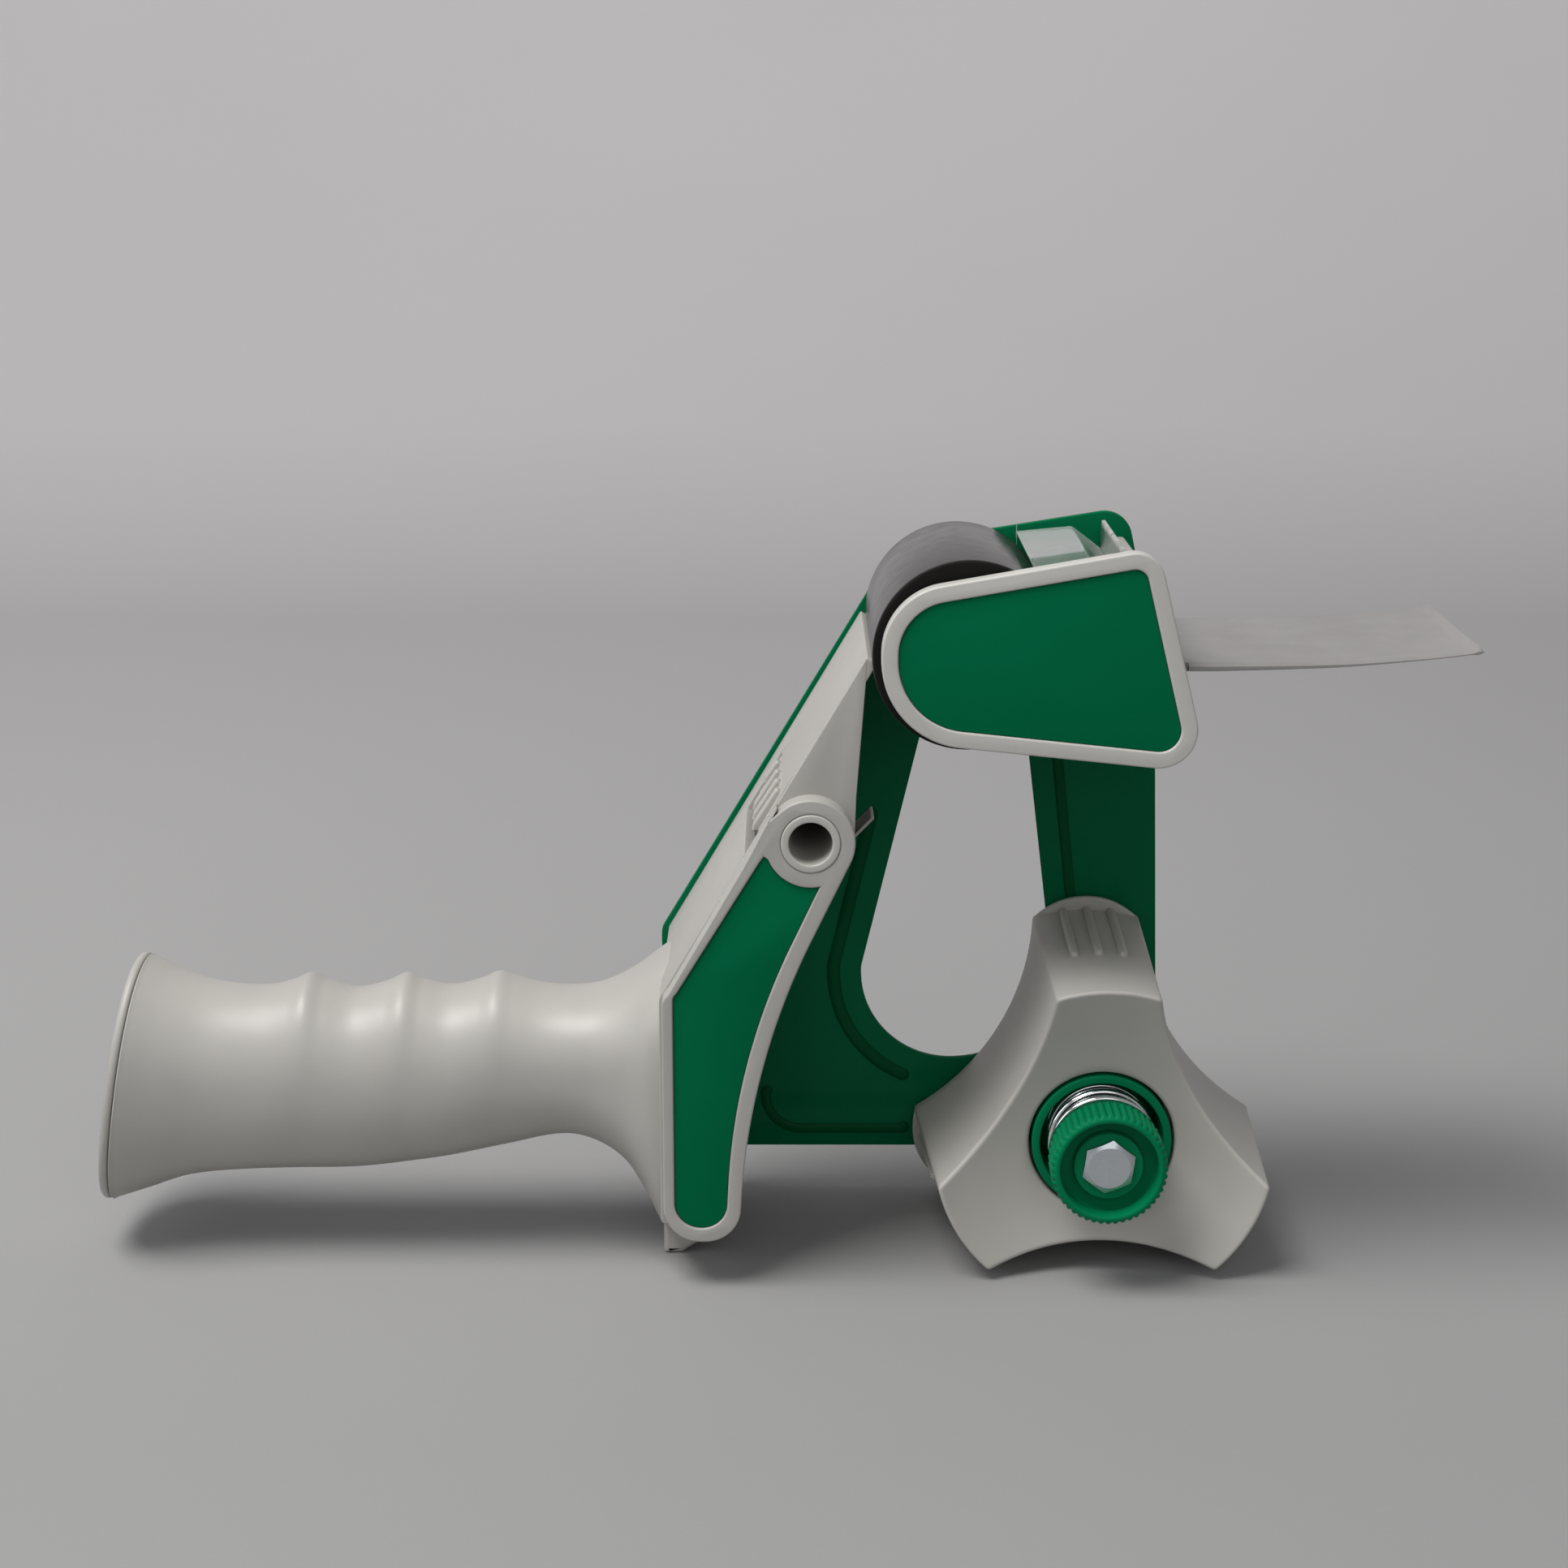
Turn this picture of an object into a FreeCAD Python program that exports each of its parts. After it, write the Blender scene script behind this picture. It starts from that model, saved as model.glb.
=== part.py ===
"""Hand-held carton tape dispenser: pressed side plate, moulded handle, roller head and braked tape hub."""
import math
import os

import FreeCAD
import Part

V = FreeCAD.Vector

# Frame: X runs from the grip to the wiper flap, Y from the open side to the plate side, Z up.
# Side outlines are drawn as (x from the hub axis, z above the floor); HUB_X moves them into the frame.
# Y is measured from the middle of the tape.
HUB_X = 70.0
HUB_Z = 28.4
TAPE_W = 50.0
NEAR = -TAPE_W / 2
FAR = TAPE_W / 2

# side plate
PLATE_IN = 26.5
PLATE_T = 1.5
PLATE_OUT = PLATE_IN + PLATE_T
TEAR_X, TEAR_Z, TEAR_R = -28.5, 53.6, 20.2

# handle
SLOPE = math.radians(59.4)
TIP_X, TIP_Z = -49.9, 132.8
WALL = 2.6
ARM_NEAR = -23.0
BOOT_FACE = -28.0
BOSS_X, BOSS_Z, BOSS_R = -61.0, 95.6, 9.0
TUBE_R, TUBE_BORE, TUBE_WAIST = 6.0, 4.4, 5.4

# head
COVER_FACE, COVER_IN = -30.0, -26.0
ROLL_X, ROLL_Z, ROLL_R = -29.8, 133.3, 19.15
AXLE_R = 3.0

# tape hub and tension set, for a 76 mm core
LOBE_HALF = math.radians(17.8)
HUB_R_NEAR, HUB_R_FAR, HUB_END = 35.2, 38.25, 25.4
HUB_WAIST = 21.7
CUP_R, CUP_BORE, CUP_FACE = 14.6, 12.9, -18.0
KNOB_R, KNOB_FACE, KNOB_BACK = 12.1, -34.0, -25.2
BOLT_R, BOLT_AF = 3.0, 10.0

# inlays
INLAY_T, POCKET = 0.8, 1.3


def p(x, z, y=0.0):
    """A side-view point as a vector in the frame."""
    return V(x + HUB_X, y, z)


def rounded(corners, y):
    """Closed side-view wire through corners (x, z, radius) at depth y."""
    n = len(corners)
    edges = []
    ends = []
    for i in range(n):
        a, b, c = corners[i - 1], corners[i], corners[(i + 1) % n]
        vb = p(b[0], b[1], y)
        r = b[2] if len(b) > 2 else 0.0
        if r <= 0:
            ends.append((vb, None, vb))
            continue
        u = (p(a[0], a[1], y) - vb).normalize()
        w = (p(c[0], c[1], y) - vb).normalize()
        half = u.getAngle(w) / 2
        t = r / math.tan(half)
        mid = vb + (u + w).normalize() * (r / math.sin(half) - r)
        ends.append((vb + u * t, mid, vb + w * t))
    for i in range(n):
        s, m, e = ends[i]
        if m is not None:
            edges.append(Part.Arc(s, m, e).toShape())
        nxt = ends[(i + 1) % n][0]
        if e.distanceToPoint(nxt) > 1e-6:
            edges.append(Part.LineSegment(e, nxt).toShape())
    return Part.Wire(edges)


def slab(corners, y0, y1):
    """Prism of a side-view outline between two depths."""
    return Part.Face(rounded(corners, y0)).extrude(V(0, y1 - y0, 0))


def rod(x, z, r, y0, y1, inner=0.0):
    """Round bar or tube along Y."""
    s = Part.makeCylinder(r, y1 - y0, p(x, z, y0), V(0, 1, 0))
    if inner > 0:
        s = s.cut(Part.makeCylinder(inner, y1 - y0 + 2, p(x, z, y0 - 1), V(0, 1, 0)))
    return s


def hexbar(x, z, af, y0, y1, turn=22.0):
    """Hexagonal bar along Y, corners starting at the given angle."""
    r = af / math.sqrt(3)
    pts = []
    for k in range(6):
        a = math.radians(turn + 60 * k)
        pts.append((x + r * math.cos(a), z + r * math.sin(a)))
    return slab(pts, y0, y1)


def along(s, out, y=0.0):
    """Point on the sloping arm face: s along it from the window foot, out above the face."""
    ex, ez = math.cos(SLOPE), math.sin(SLOPE)
    return (WIN_X + s * ex - out * ez, WIN_Z + s * ez + out * ex)


def face_z(x):
    """Height of the sloping arm face at x."""
    return TIP_Z + (x - TIP_X) * math.tan(SLOPE)


def save(name, shape):
    """One STEP file for each node."""
    solids = shape.Solids
    if not solids or not all(s.isValid() for s in solids):
        print("BAD", name, len(solids))
    if len(solids) == 1:
        shape = solids[0]
    else:
        shape = Part.makeCompound(solids)
    shape.exportStep("parts/" + name + ".step")
    b = shape.BoundBox
    print("%-16s %d solids %9.1f mm3  x %7.2f %7.2f  y %6.2f %6.2f  z %6.2f %6.2f" % (
        name, len(solids), shape.Volume, b.XMin, b.XMax, b.YMin, b.YMax, b.ZMin, b.ZMax))


WIN_X = -74.5
WIN_Z = face_z(WIN_X)
WIN_LEN = 14.8
WIN_Y0, WIN_Y1 = -20.4, 17.0

HANDLE_SCREWS = [(-83.0, 20.0), (-83.0, 54.0), (-57.2, 111.5)]
HEAD_SCREWS = [(5.2, 142.0), (8.6, 125.0)]

os.makedirs("parts", exist_ok=True)

# ---------------------------------------------------------------- side plate
plate_edge = [
    (-88.5, 10.4, 6), (17.9, 10.4, 17.0), (16.0, 52.0, 30), (14.5, 98.0, 60), (14.3, 121.0, 40),
    (6.6, 155.1, 6), (-42.5, 147.2, 8), (-48.4, 137.0, 4), (-93.4, 61.5, 4), (-93.4, 57.0, 2),
    (-88.5, 50.0, 4)]
plate = slab(plate_edge, PLATE_IN, PLATE_OUT)
tear = [
    (TEAR_X - 20.2, 29.0, 20), (-7.9, 33.4, 20), (-8.2, 62.0, 8), (-15.2, 118.0, 9.5), (-33.8, 118.0, 9.5),
    (-49.3, 52.5, 6)]
plate = plate.cut(slab(tear, PLATE_IN - 1, PLATE_OUT + 1))
tear_face = Part.Face(rounded(tear, PLATE_IN - 0.6))
bead = tear_face.makeOffset2D(7.2).cut(tear_face.makeOffset2D(5.0)).extrude(V(0, 0.9, 0))
bead = bead.common(slab([(-62, 24), (-33, 24), (-44, 74), (-62, 74)], 20, 30))
plate = plate.fuse(bead)
right_bead = slab([(-7.9, 101, 1), (-5.7, 101, 1), (-2.0, 66, 1), (-4.2, 66, 1)],
                  PLATE_IN - 0.6, PLATE_IN + 0.3)
low_bead = slab([(-38, 15.6, 1), (-38, 13.4, 1), (-71.6, 13.4, 9), (-71.6, 24, 1), (-69.4, 24, 1),
                 (-69.4, 15.6, 7)],
                PLATE_IN - 0.6, PLATE_IN + 0.3)
plate = plate.fuse(right_bead).fuse(low_bead)
plate = plate.cut(rod(0, HUB_Z, BOLT_R + 0.3, 20, 30)).cut(rod(ROLL_X, ROLL_Z, AXLE_R + 0.05, 20, 30))
for sx, sz in HANDLE_SCREWS + HEAD_SCREWS:
    plate = plate.cut(rod(sx, sz, 2.0, 20, 30))
save("side_plate", plate.removeSplitter())

# ---------------------------------------------------------------- grip
# Side profile of the grip as smooth curves over x, with three finger ridges on top.
GRIP_TOP = [(-201.5, 63.4), (-195.4, 60.3), (-188.6, 58.3), (-182.0, 57.6), (-175.4, 58.0), (-170.6, 59.3),
            (-167.1, 60.7), (-163.6, 59.2), (-157.0, 57.5), (-150.4, 59.1), (-146.6, 60.7), (-143.0, 59.2),
            (-137.0, 58.0), (-130.6, 59.5), (-127.0, 61.0), (-123.4, 59.9), (-117.7, 58.2), (-111.9, 57.6),
            (-105.1, 59.2), (-98.1, 62.8), (-92.1, 66.7), (-86.0, 70.6)]
GRIP_LOW = [(-201.5, 10.0), (-195.4, 12.6), (-188.6, 15.4), (-178.0, 16.6), (-157.2, 17.1), (-140.5, 19.2),
            (-126.0, 22.2), (-113.0, 25.1), (-106.0, 23.9), (-99.6, 19.6), (-95.0, 12.4), (-92.0, 6.4), (-86.0, 3.0)]
GRIP_HALF = [(-201.5, 20.0), (-195.4, 18.4), (-186.0, 16.6), (-170.0, 16.0), (-140.0, 15.8), (-118.0, 15.5),
             (-108.0, 16.4), (-100.0, 19.0), (-94.0, 22.4), (-86.0, 24.2)]
GRIP_SQUARE = [(-201.5, 2.2), (-120.0, 2.2), (-100.0, 2.8), (-86.0, 3.6)]
GRIP_END = -201.5
LEAN = 8.7
STATIONS = 42
ROOT_X = -92.0
RING = 28


def smooth(table, x):
    """Value at x of the cubic curve through a table, slopes from its neighbours."""
    n = len(table)
    k = 0
    while k < n - 2 and x > table[k + 1][0]:
        k += 1
    x0, y0 = table[k]
    x1, y1 = table[k + 1]
    xa, ya = table[max(k - 1, 0)]
    xb, yb = table[min(k + 2, n - 1)]
    h = x1 - x0
    m0 = (y1 - ya) / (x1 - xa) * h
    m1 = (yb - y0) / (xb - x0) * h
    t = (x - x0) / h
    return (y0 * (2 * t ** 3 - 3 * t ** 2 + 1) + m0 * (t ** 3 - 2 * t ** 2 + t)
            + y1 * (3 * t ** 2 - 2 * t ** 3) + m1 * (t ** 3 - t ** 2))


def lean(x):
    """How far the bottom of a section lies behind its top: the butt end slopes."""
    if x > -160.0:
        return 0.0
    return LEAN * ((-160.0 - x) / (-160.0 - GRIP_END)) ** 1.6


def section(x, inset=0.0, shift=V(0, 0, 0)):
    """Closed smooth ring of the grip at station x."""
    half = smooth(GRIP_HALF, x) - inset
    mid = 1.6 * max(0.0, (x + 110.0) / 24.0)
    power = smooth(GRIP_SQUARE, x)
    t = p(x, smooth(GRIP_TOP, x), mid)
    b = p(x - lean(x), smooth(GRIP_LOW, x), mid)
    c = (t + b) * 0.5
    up = t - b
    rise = up.Length / 2 - inset
    up = up.normalize()
    pts = []
    for k in range(RING):
        a = 2 * math.pi * (k + 0.5) / RING
        ca, sa = math.cos(a), math.sin(a)
        yy = math.copysign(abs(ca) ** (2 / power), ca) * half
        zz = math.copysign(abs(sa) ** (2 / power), sa) * rise
        pts.append(c + up * zz + V(0, yy, 0) + shift)
    curve = Part.BSplineCurve()
    curve.interpolate(Points=pts, PeriodicFlag=True)
    return Part.Wire([curve.toShape()])


xs = [GRIP_END + (ROOT_X - GRIP_END) * k / STATIONS for k in range(STATIONS + 1)]
grip = Part.makeLoft([section(x) for x in xs], True, False)
hollow = Part.makeLoft([section(x, 3.0) for x in xs[:37:2]], True, False)
save("grip", grip.cut(hollow))

# ---------------------------------------------------------------- handle body
wall_edge = [
    (TIP_X, TIP_Z), (-92.0, face_z(-92.0), 3), (-92.0, 12.0, 4), (-76.4, 12.0, 5), (-73.2, 49.2, 150),
    (-52.0, 95.0), (-51.7, 104.0), (-49.6, 131.8)]
boot_edge = [
    (-91.2, face_z(-91.2), 3), (-91.2, 10.2, 7.6), (-75.6, 10.2, 7.4), (-73.2, 49.2, 150), (-52.3, 95.6),
    (BOSS_X, BOSS_Z), along(16.6, 0)]
body = slab(wall_edge, ARM_NEAR, PLATE_IN)
body = body.fuse(slab(boot_edge, BOOT_FACE, ARM_NEAR + 1.0))
body = body.fuse(rod(BOSS_X, BOSS_Z, BOSS_R, BOOT_FACE, ARM_NEAR + 1.0))
body = body.fuse(slab([(-92.0, 58.0), (-92.0, 65.8), (-88.0, 68.4, 4), (-84.5, face_z(-84.5) + 0.1),
                       (-86.0, 66.0)], -17.0, 20.0))
toe = slab([(-92.0, 0.0, 0.4), (-88.2, 0.0, 0.4), (-79.0, 6.0, 2), (-76.4, 16.0), (-92.0, 16.0)], -10.0, 20.0)
body = body.fuse(toe)
inner_drop = WALL / math.cos(SLOPE)
channel = slab([
    (-92.0 + WALL, 12.0 + WALL), (-92.0 + WALL, face_z(-92.0 + WALL) - inner_drop),
    (-46.0, face_z(-46.0) - inner_drop), (-40.0, 12.0 + WALL)], ARM_NEAR + 2.5, PLATE_IN - 2.5)
body = body.cut(channel)
for sx, sz in HANDLE_SCREWS:
    body = body.fuse(rod(sx, sz, 4.2, 12.0, PLATE_IN - 1.0))
for sx, sz in HANDLE_SCREWS:
    body = body.cut(rod(sx, sz, 1.65, 14.0, PLATE_IN + 1))
window = slab([along(0, -WALL - 1.5), along(0, 4), along(WIN_LEN, 4), along(WIN_LEN, -WALL - 1.5)],
              WIN_Y0, WIN_Y1)
body = body.cut(window)
body = body.cut(rod(BOSS_X, BOSS_Z, TUBE_R + 0.02, BOOT_FACE - 1, ARM_NEAR + 3))
body = body.cut(rod(BOSS_X, BOSS_Z, TUBE_WAIST + 0.02, 20, PLATE_IN + 1))
inlay_edge = [
    (-88.9, face_z(-88.9) - 3.4, 2), (-88.9, 13.2, 5.4), (-78.3, 13.2, 5.2), (-76.3, 49.8, 140),
     (-59.2, 86.9, 0.4),
    (-61.4, 86.2), (-69.4, 92.3, 0.6)]
inlay = slab(inlay_edge, BOOT_FACE + POCKET - INLAY_T, BOOT_FACE + POCKET)
pocket = slab(inlay_edge, BOOT_FACE - 1, BOOT_FACE + POCKET)
ring = rod(BOSS_X, BOSS_Z, BOSS_R + 0.1, BOOT_FACE - 1, BOOT_FACE + POCKET + 1)
body = body.cut(pocket.cut(ring))
save("arm_body", body)
save("handle_inlay", inlay.cut(ring))

# ---------------------------------------------------------------- grip end cap
top_end = p(GRIP_END, smooth(GRIP_TOP, GRIP_END))
low_end = p(GRIP_END - lean(GRIP_END), smooth(GRIP_LOW, GRIP_END))
end_dir = (top_end - low_end).normalize()
end_out = V(-end_dir.z, 0, end_dir.x)
cap = Part.makeLoft([section(GRIP_END, 0.0), section(GRIP_END, 0.1, end_out * 1.3),
                     section(GRIP_END, 0.9, end_out * 2.1)],
                    True, True)
plug = Part.makeLoft([section(GRIP_END, 3.6, end_out * 0.5), section(GRIP_END, 5.6, end_out * -5.0)],
                     True, True)
save("grip_end_cap", cap.fuse(plug))

# ---------------------------------------------------------------- pivot tube and handle screws
tube = rod(BOSS_X, BOSS_Z, TUBE_R, BOOT_FACE - 0.2, ARM_NEAR + 2.5)
tube = tube.fuse(rod(BOSS_X, BOSS_Z, TUBE_WAIST, ARM_NEAR + 2.0, PLATE_IN))
tube = tube.cut(rod(BOSS_X, BOSS_Z, TUBE_BORE, BOOT_FACE - 1, PLATE_IN - 1.5))
save("pivot_tube", tube)


def far_screw(x, z, length):
    """Pan-head screw driven in from the plate side, with a cross recess."""
    s = rod(x, z, 1.6, PLATE_OUT - length, PLATE_OUT + 0.5)
    head = rod(x, z, 3.6, PLATE_OUT, PLATE_OUT + 2.2)
    rim = [e for e in head.Edges if e.BoundBox.YMin > PLATE_OUT + 2.2 - 1e-6]
    head = head.makeFillet(1.2, rim)
    for w, h in ((3.8, 0.9), (0.9, 3.8)):
        head = head.cut(Part.makeBox(w, 1.2, h, p(x - w / 2, z - h / 2, PLATE_OUT + 1.2)))
    return s.fuse(head)


save("handle_screws", Part.makeCompound([far_screw(x, z, 13.0) for x, z in HANDLE_SCREWS]))
save("head_screws", Part.makeCompound([far_screw(x, z, 11.0) for x, z in HEAD_SCREWS]))

# ---------------------------------------------------------------- finger brake lever, strip and return spring
lever = rod(BOSS_X, BOSS_Z, 7.4, WIN_Y0 + 0.4, WIN_Y1 - 0.4)
pad = slab([along(4.4, -2.4), along(4.4, -0.5), along(14.3, -0.4), along(14.3, -2.4)],
           WIN_Y0 + 0.4, WIN_Y1 - 0.4)
lever = lever.fuse(pad)
PAD_RIBS = ((-13.4, 3.8), (-5.4, 3.8), (2.6, 3.8), (10.6, 8.2))
for rib_y, rib_s in PAD_RIBS:
    lever = lever.fuse(slab([along(rib_s, -1.0), along(rib_s, 0.5), along(rib_s + 1.6, 1.0), along(14.0, 0.7),
                             along(14.0, -1.0)], rib_y - 1.2, rib_y + 1.2))
STRIP = math.radians(46)
foot = (BOSS_X + 9.7 * math.sin(STRIP), BOSS_Z - 9.7 * math.cos(STRIP))
sx, sz = math.cos(STRIP), math.sin(STRIP)


def strip_pt(s, out):
    """Point on the brake strip: s along it, out away from the pivot."""
    return (foot[0] + s * sx + out * sz, foot[1] + s * sz - out * sx)


arm = slab([(BOSS_X, BOSS_Z - 5.5), strip_pt(-4.5, 0), strip_pt(2.5, 0), (BOSS_X + 6.0, BOSS_Z)], -6.0, 6.0)
lever = lever.fuse(arm).cut(rod(BOSS_X, BOSS_Z, TUBE_WAIST + 0.05, -30, 30))
save("brake_lever", lever.removeSplitter())

strip = slab([strip_pt(-4.5, 0), strip_pt(-4.5, 0.6), strip_pt(8.6, 0.6), strip_pt(8.6, 0)], -4.5, 4.5)
for k in range(6):
    yk = -3.75 + 1.5 * k
    a, b = strip_pt(8.7, -1), strip_pt(8.7, 2)
    tooth = Part.makePolygon([p(a[0], a[1], yk - 0.5), p(a[0], a[1], yk + 0.5),
                              p(a[0] - 1.2 * sx, a[1] - 1.2 * sz, yk), p(a[0], a[1], yk - 0.5)])
    strip = strip.cut(Part.Face(tooth).extrude(V(b[0] - a[0], 0, b[1] - a[1])))
rivets = []
for yk in (-2.4, 2.4):
    c = strip_pt(-1.5, 0.6)
    rivets.append(Part.makeCylinder(0.9, 0.5, p(c[0], c[1], yk), V(sz, 0, -sx)))
save("brake_strip", strip.fuse(rivets))


def coil(radius, wire, pitch, turns, x, z, y0, turn=0.0):
    """Round-wire helical coil along Y, its first wire centre at depth y0."""
    rise_per_rad = pitch / (2 * math.pi)
    steps = int(12 * turns)
    angles = [2 * math.pi * turns * k / steps for k in range(steps + 1)]
    spine = Part.BSplineCurve()
    spine.interpolate([V(radius * math.cos(a), radius * math.sin(a), rise_per_rad * a) for a in angles])
    ring = Part.Wire([Part.makeCircle(wire, V(radius, 0, 0), V(0, radius, rise_per_rad))])
    c = Part.Wire(spine.toShape()).makePipeShell([ring], True, True)
    c.rotate(V(0, 0, 0), V(0, 0, 1), turn)
    c.rotate(V(0, 0, 0), V(1, 0, 0), -90)
    c.translate(p(x, z, y0))
    return c


save("brake_spring", coil(6.05, 0.35, 1.1, 4.0, BOSS_X, BOSS_Z, 18.0))

# ---------------------------------------------------------------- head cover
cover_edge = [(6.5, 155.5, 6), (17.7, 110.5, 7.6), (-47.2, 117.3, 17.5), (-47.2, 146.1, 14)]
cover = slab(cover_edge, COVER_FACE, COVER_IN)
cover_face = Part.Face(rounded(cover_edge, COVER_FACE))
inset = cover_face.makeOffset2D(-3.3)
cover = cover.cut(inset.extrude(V(0, POCKET, 0)))
cover = cover.fuse(rod(ROLL_X, ROLL_Z, 6.5, COVER_IN, COVER_IN + 0.5))
cover = cover.cut(rod(ROLL_X, ROLL_Z, AXLE_R + 0.02, COVER_IN - 2.0, COVER_IN + 2))
save("head_cover", cover)
head_inlay = inset.extrude(V(0, INLAY_T, 0))
head_inlay.translate(V(0, POCKET - INLAY_T, 0))
save("head_inlay", head_inlay)

# ---------------------------------------------------------------- head bridge, blade, guide
bridge = slab([(1.9, 148.8, 0.8), (6.3, 148.8, 1), (10.8, 131.0), (12.7, 123.0, 3), (10.4, 116.6, 3),
               (-5.0, 117.6, 1),
               (-5.0, 120.2, 1), (4.6, 120.4, 2), (1.9, 134.0, 2)], COVER_IN, PLATE_IN)
for sx_, sz_ in HEAD_SCREWS:
    bridge = bridge.cut(rod(sx_, sz_, 1.65, 15.0, PLATE_IN + 1))
BLADE_Y0, BLADE_Y1, BLADE_TOP = -20.0, 25.0, 152.7
TEETH = 25
pitch = (BLADE_Y1 - BLADE_Y0) / TEETH
pts = [V(HUB_X + 1.1, BLADE_Y0, 136.5)]
for k in range(TEETH):
    pts.append(V(HUB_X + 1.1, BLADE_Y0 + k * pitch, BLADE_TOP - 1.5))
    pts.append(V(HUB_X + 1.1, BLADE_Y0 + (k + 0.5) * pitch, BLADE_TOP))
pts.append(V(HUB_X + 1.1, BLADE_Y1, BLADE_TOP - 1.5))
pts.append(V(HUB_X + 1.1, BLADE_Y1, 136.5))
pts.append(pts[0])
blade = Part.Face(Part.makePolygon(pts)).extrude(V(0.8, 0, 0))
guide = slab([(0.6, 137.0), (1.1, 137.0), (1.1, 146.3), (-5.3, 151.2), (-16.9, 150.1),
              (-16.9, 149.6), (-5.5, 150.6),
              (0.6, 146.0)], BLADE_Y0, BLADE_Y1)
screws = []
for yk in (-10.0, 15.0):
    hole = Part.makeCylinder(1.7, 6, V(HUB_X - 1, yk, 140.5), V(1, 0, 0))
    blade = blade.cut(hole)
    guide = guide.cut(hole)
    bridge = bridge.cut(Part.makeCylinder(1.55, 3.4, V(HUB_X + 1.5, yk, 140.5), V(1, 0, 0)))
    head = Part.makeCylinder(2.8, 1.5, V(HUB_X - 0.9, yk, 140.5), V(1, 0, 0))
    slot = Part.makeBox(0.7, 5.0, 0.8, V(HUB_X - 1.0, yk - 2.5, 140.1))
    shank = Part.makeCylinder(1.5, 4.2, V(HUB_X + 0.4, yk, 140.5), V(1, 0, 0))
    screws.append(head.cut(slot).fuse(shank))
save("cutting_blade", blade)
save("tape_guide", guide)
save("blade_screws", Part.makeCompound(screws))

# ---------------------------------------------------------------- wiper root and flap
HINGE_X, HINGE_Z = 14.6, 130.9
root = slab([(11.9, 126.9), (13.6, 127.2, 0.4), (12.9, 130.0), (HINGE_X, 130.0), (HINGE_X, 131.8),
             (12.5, 132.0),
             (11.7, 135.0, 0.4), (9.9, 134.7)], -24.0, FAR)
root = root.cut(rod(HINGE_X, HINGE_Z, 1.02, -30, 30))
root_slot = slab([(8.9, 126.2), (14.0, 126.2), (14.0, 135.6), (9.0, 135.6)], -24.05, FAR + 0.05)
bridge = bridge.cut(root)
save("wiper_root", root.cut(bridge))
save("head_bridge", bridge)
flap = slab([(HINGE_X, 130.0), (43.4, 130.7, 200), (70.6, 133.5), (71.0, 133.0, 0.5), (72.0, 133.6, 0.7),
             (71.6, 135.0, 0.6),
             (70.4, 134.4, 0.5), (43.4, 132.0, 200), (HINGE_X, 131.8)], NEAR, FAR)
flap = flap.fuse(rod(HINGE_X, HINGE_Z, 0.9, NEAR, FAR))
save("wiper_flap", flap.removeSplitter())

# ---------------------------------------------------------------- roller and axle
save("roller_tyre", rod(ROLL_X, ROLL_Z, ROLL_R, NEAR, FAR, 14.0))
core = rod(ROLL_X, ROLL_Z, 14.0, NEAR + 0.6, FAR - 0.6, 11.5)
for web in (NEAR + 1.4, FAR - 4.4):
    core = core.fuse(rod(ROLL_X, ROLL_Z, 11.6, web, web + 3.0))
core = core.fuse(rod(ROLL_X, ROLL_Z, 5.2, NEAR + 0.2, FAR - 0.2))
core = core.cut(rod(ROLL_X, ROLL_Z, AXLE_R + 0.05, -40, 40))
save("roller_core", core)
axle = rod(ROLL_X, ROLL_Z, AXLE_R, COVER_IN - 1.9, PLATE_OUT + 5.0)
save("roller_axle", axle)
nut = hexbar(ROLL_X, ROLL_Z, 10.0, PLATE_OUT + 0.8, PLATE_OUT + 5.0, 10.0)
nut = nut.common(rod(ROLL_X, ROLL_Z, 5.7, 20, 40)).fuse(rod(ROLL_X, ROLL_Z, 6.0, PLATE_OUT, PLATE_OUT + 0.8))
save("roller_nut", nut.cut(rod(ROLL_X, ROLL_Z, AXLE_R, 20, 40)))

# ---------------------------------------------------------------- tape hub


def hub_wire(r, y, waist, inset=0.0):
    """Three-lobed outline: lobe ends on radius r, scooped between."""
    edges = []
    half = LOBE_HALF - inset / r
    for k in range(3):
        mid = math.radians(90 - 120 * k)
        corners = [mid + half, mid, mid - half]
        ends = [p((r - inset) * math.cos(a), HUB_Z + (r - inset) * math.sin(a), y) for a in corners]
        edges.append(Part.Arc(*ends).toShape())
        low = mid - math.radians(60)
        nxt = mid - math.radians(120) + half
        m = p((waist - inset) * math.cos(low), HUB_Z + (waist - inset) * math.sin(low), y)
        e = p((r - inset) * math.cos(nxt), HUB_Z + (r - inset) * math.sin(nxt), y)
        edges.append(Part.Arc(ends[2], m, e).toShape())
    return Part.Wire(edges)


hub = Part.makeLoft([hub_wire(HUB_R_NEAR, NEAR, HUB_WAIST), hub_wire(HUB_R_FAR, HUB_END, HUB_WAIST)],
                    True, True)
DISH = 9.0
ball = (HUB_R_NEAR ** 2 + DISH ** 2) / (2 * DISH)
hub = hub.cut(Part.makeSphere(ball, p(0, HUB_Z, NEAR + DISH - ball)))
inside = Part.makeLoft([hub_wire(36.0, -8.0, HUB_WAIST, 3.0), hub_wire(HUB_R_FAR, 30.0, HUB_WAIST, 3.0)],
                       True, True)
inside = inside.cut(rod(0, HUB_Z, 18.2, -40, 5.0)).cut(rod(0, HUB_Z, 8.0, -40, 40))
for k in range(3):
    web = Part.makeBox(17.0, 70, 2.4, p(6.5, HUB_Z - 1.2, -35))
    web.rotate(p(0, HUB_Z), V(0, 1, 0), 30 + 120 * k)
    inside = inside.cut(web)
hub = hub.cut(inside)
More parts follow.
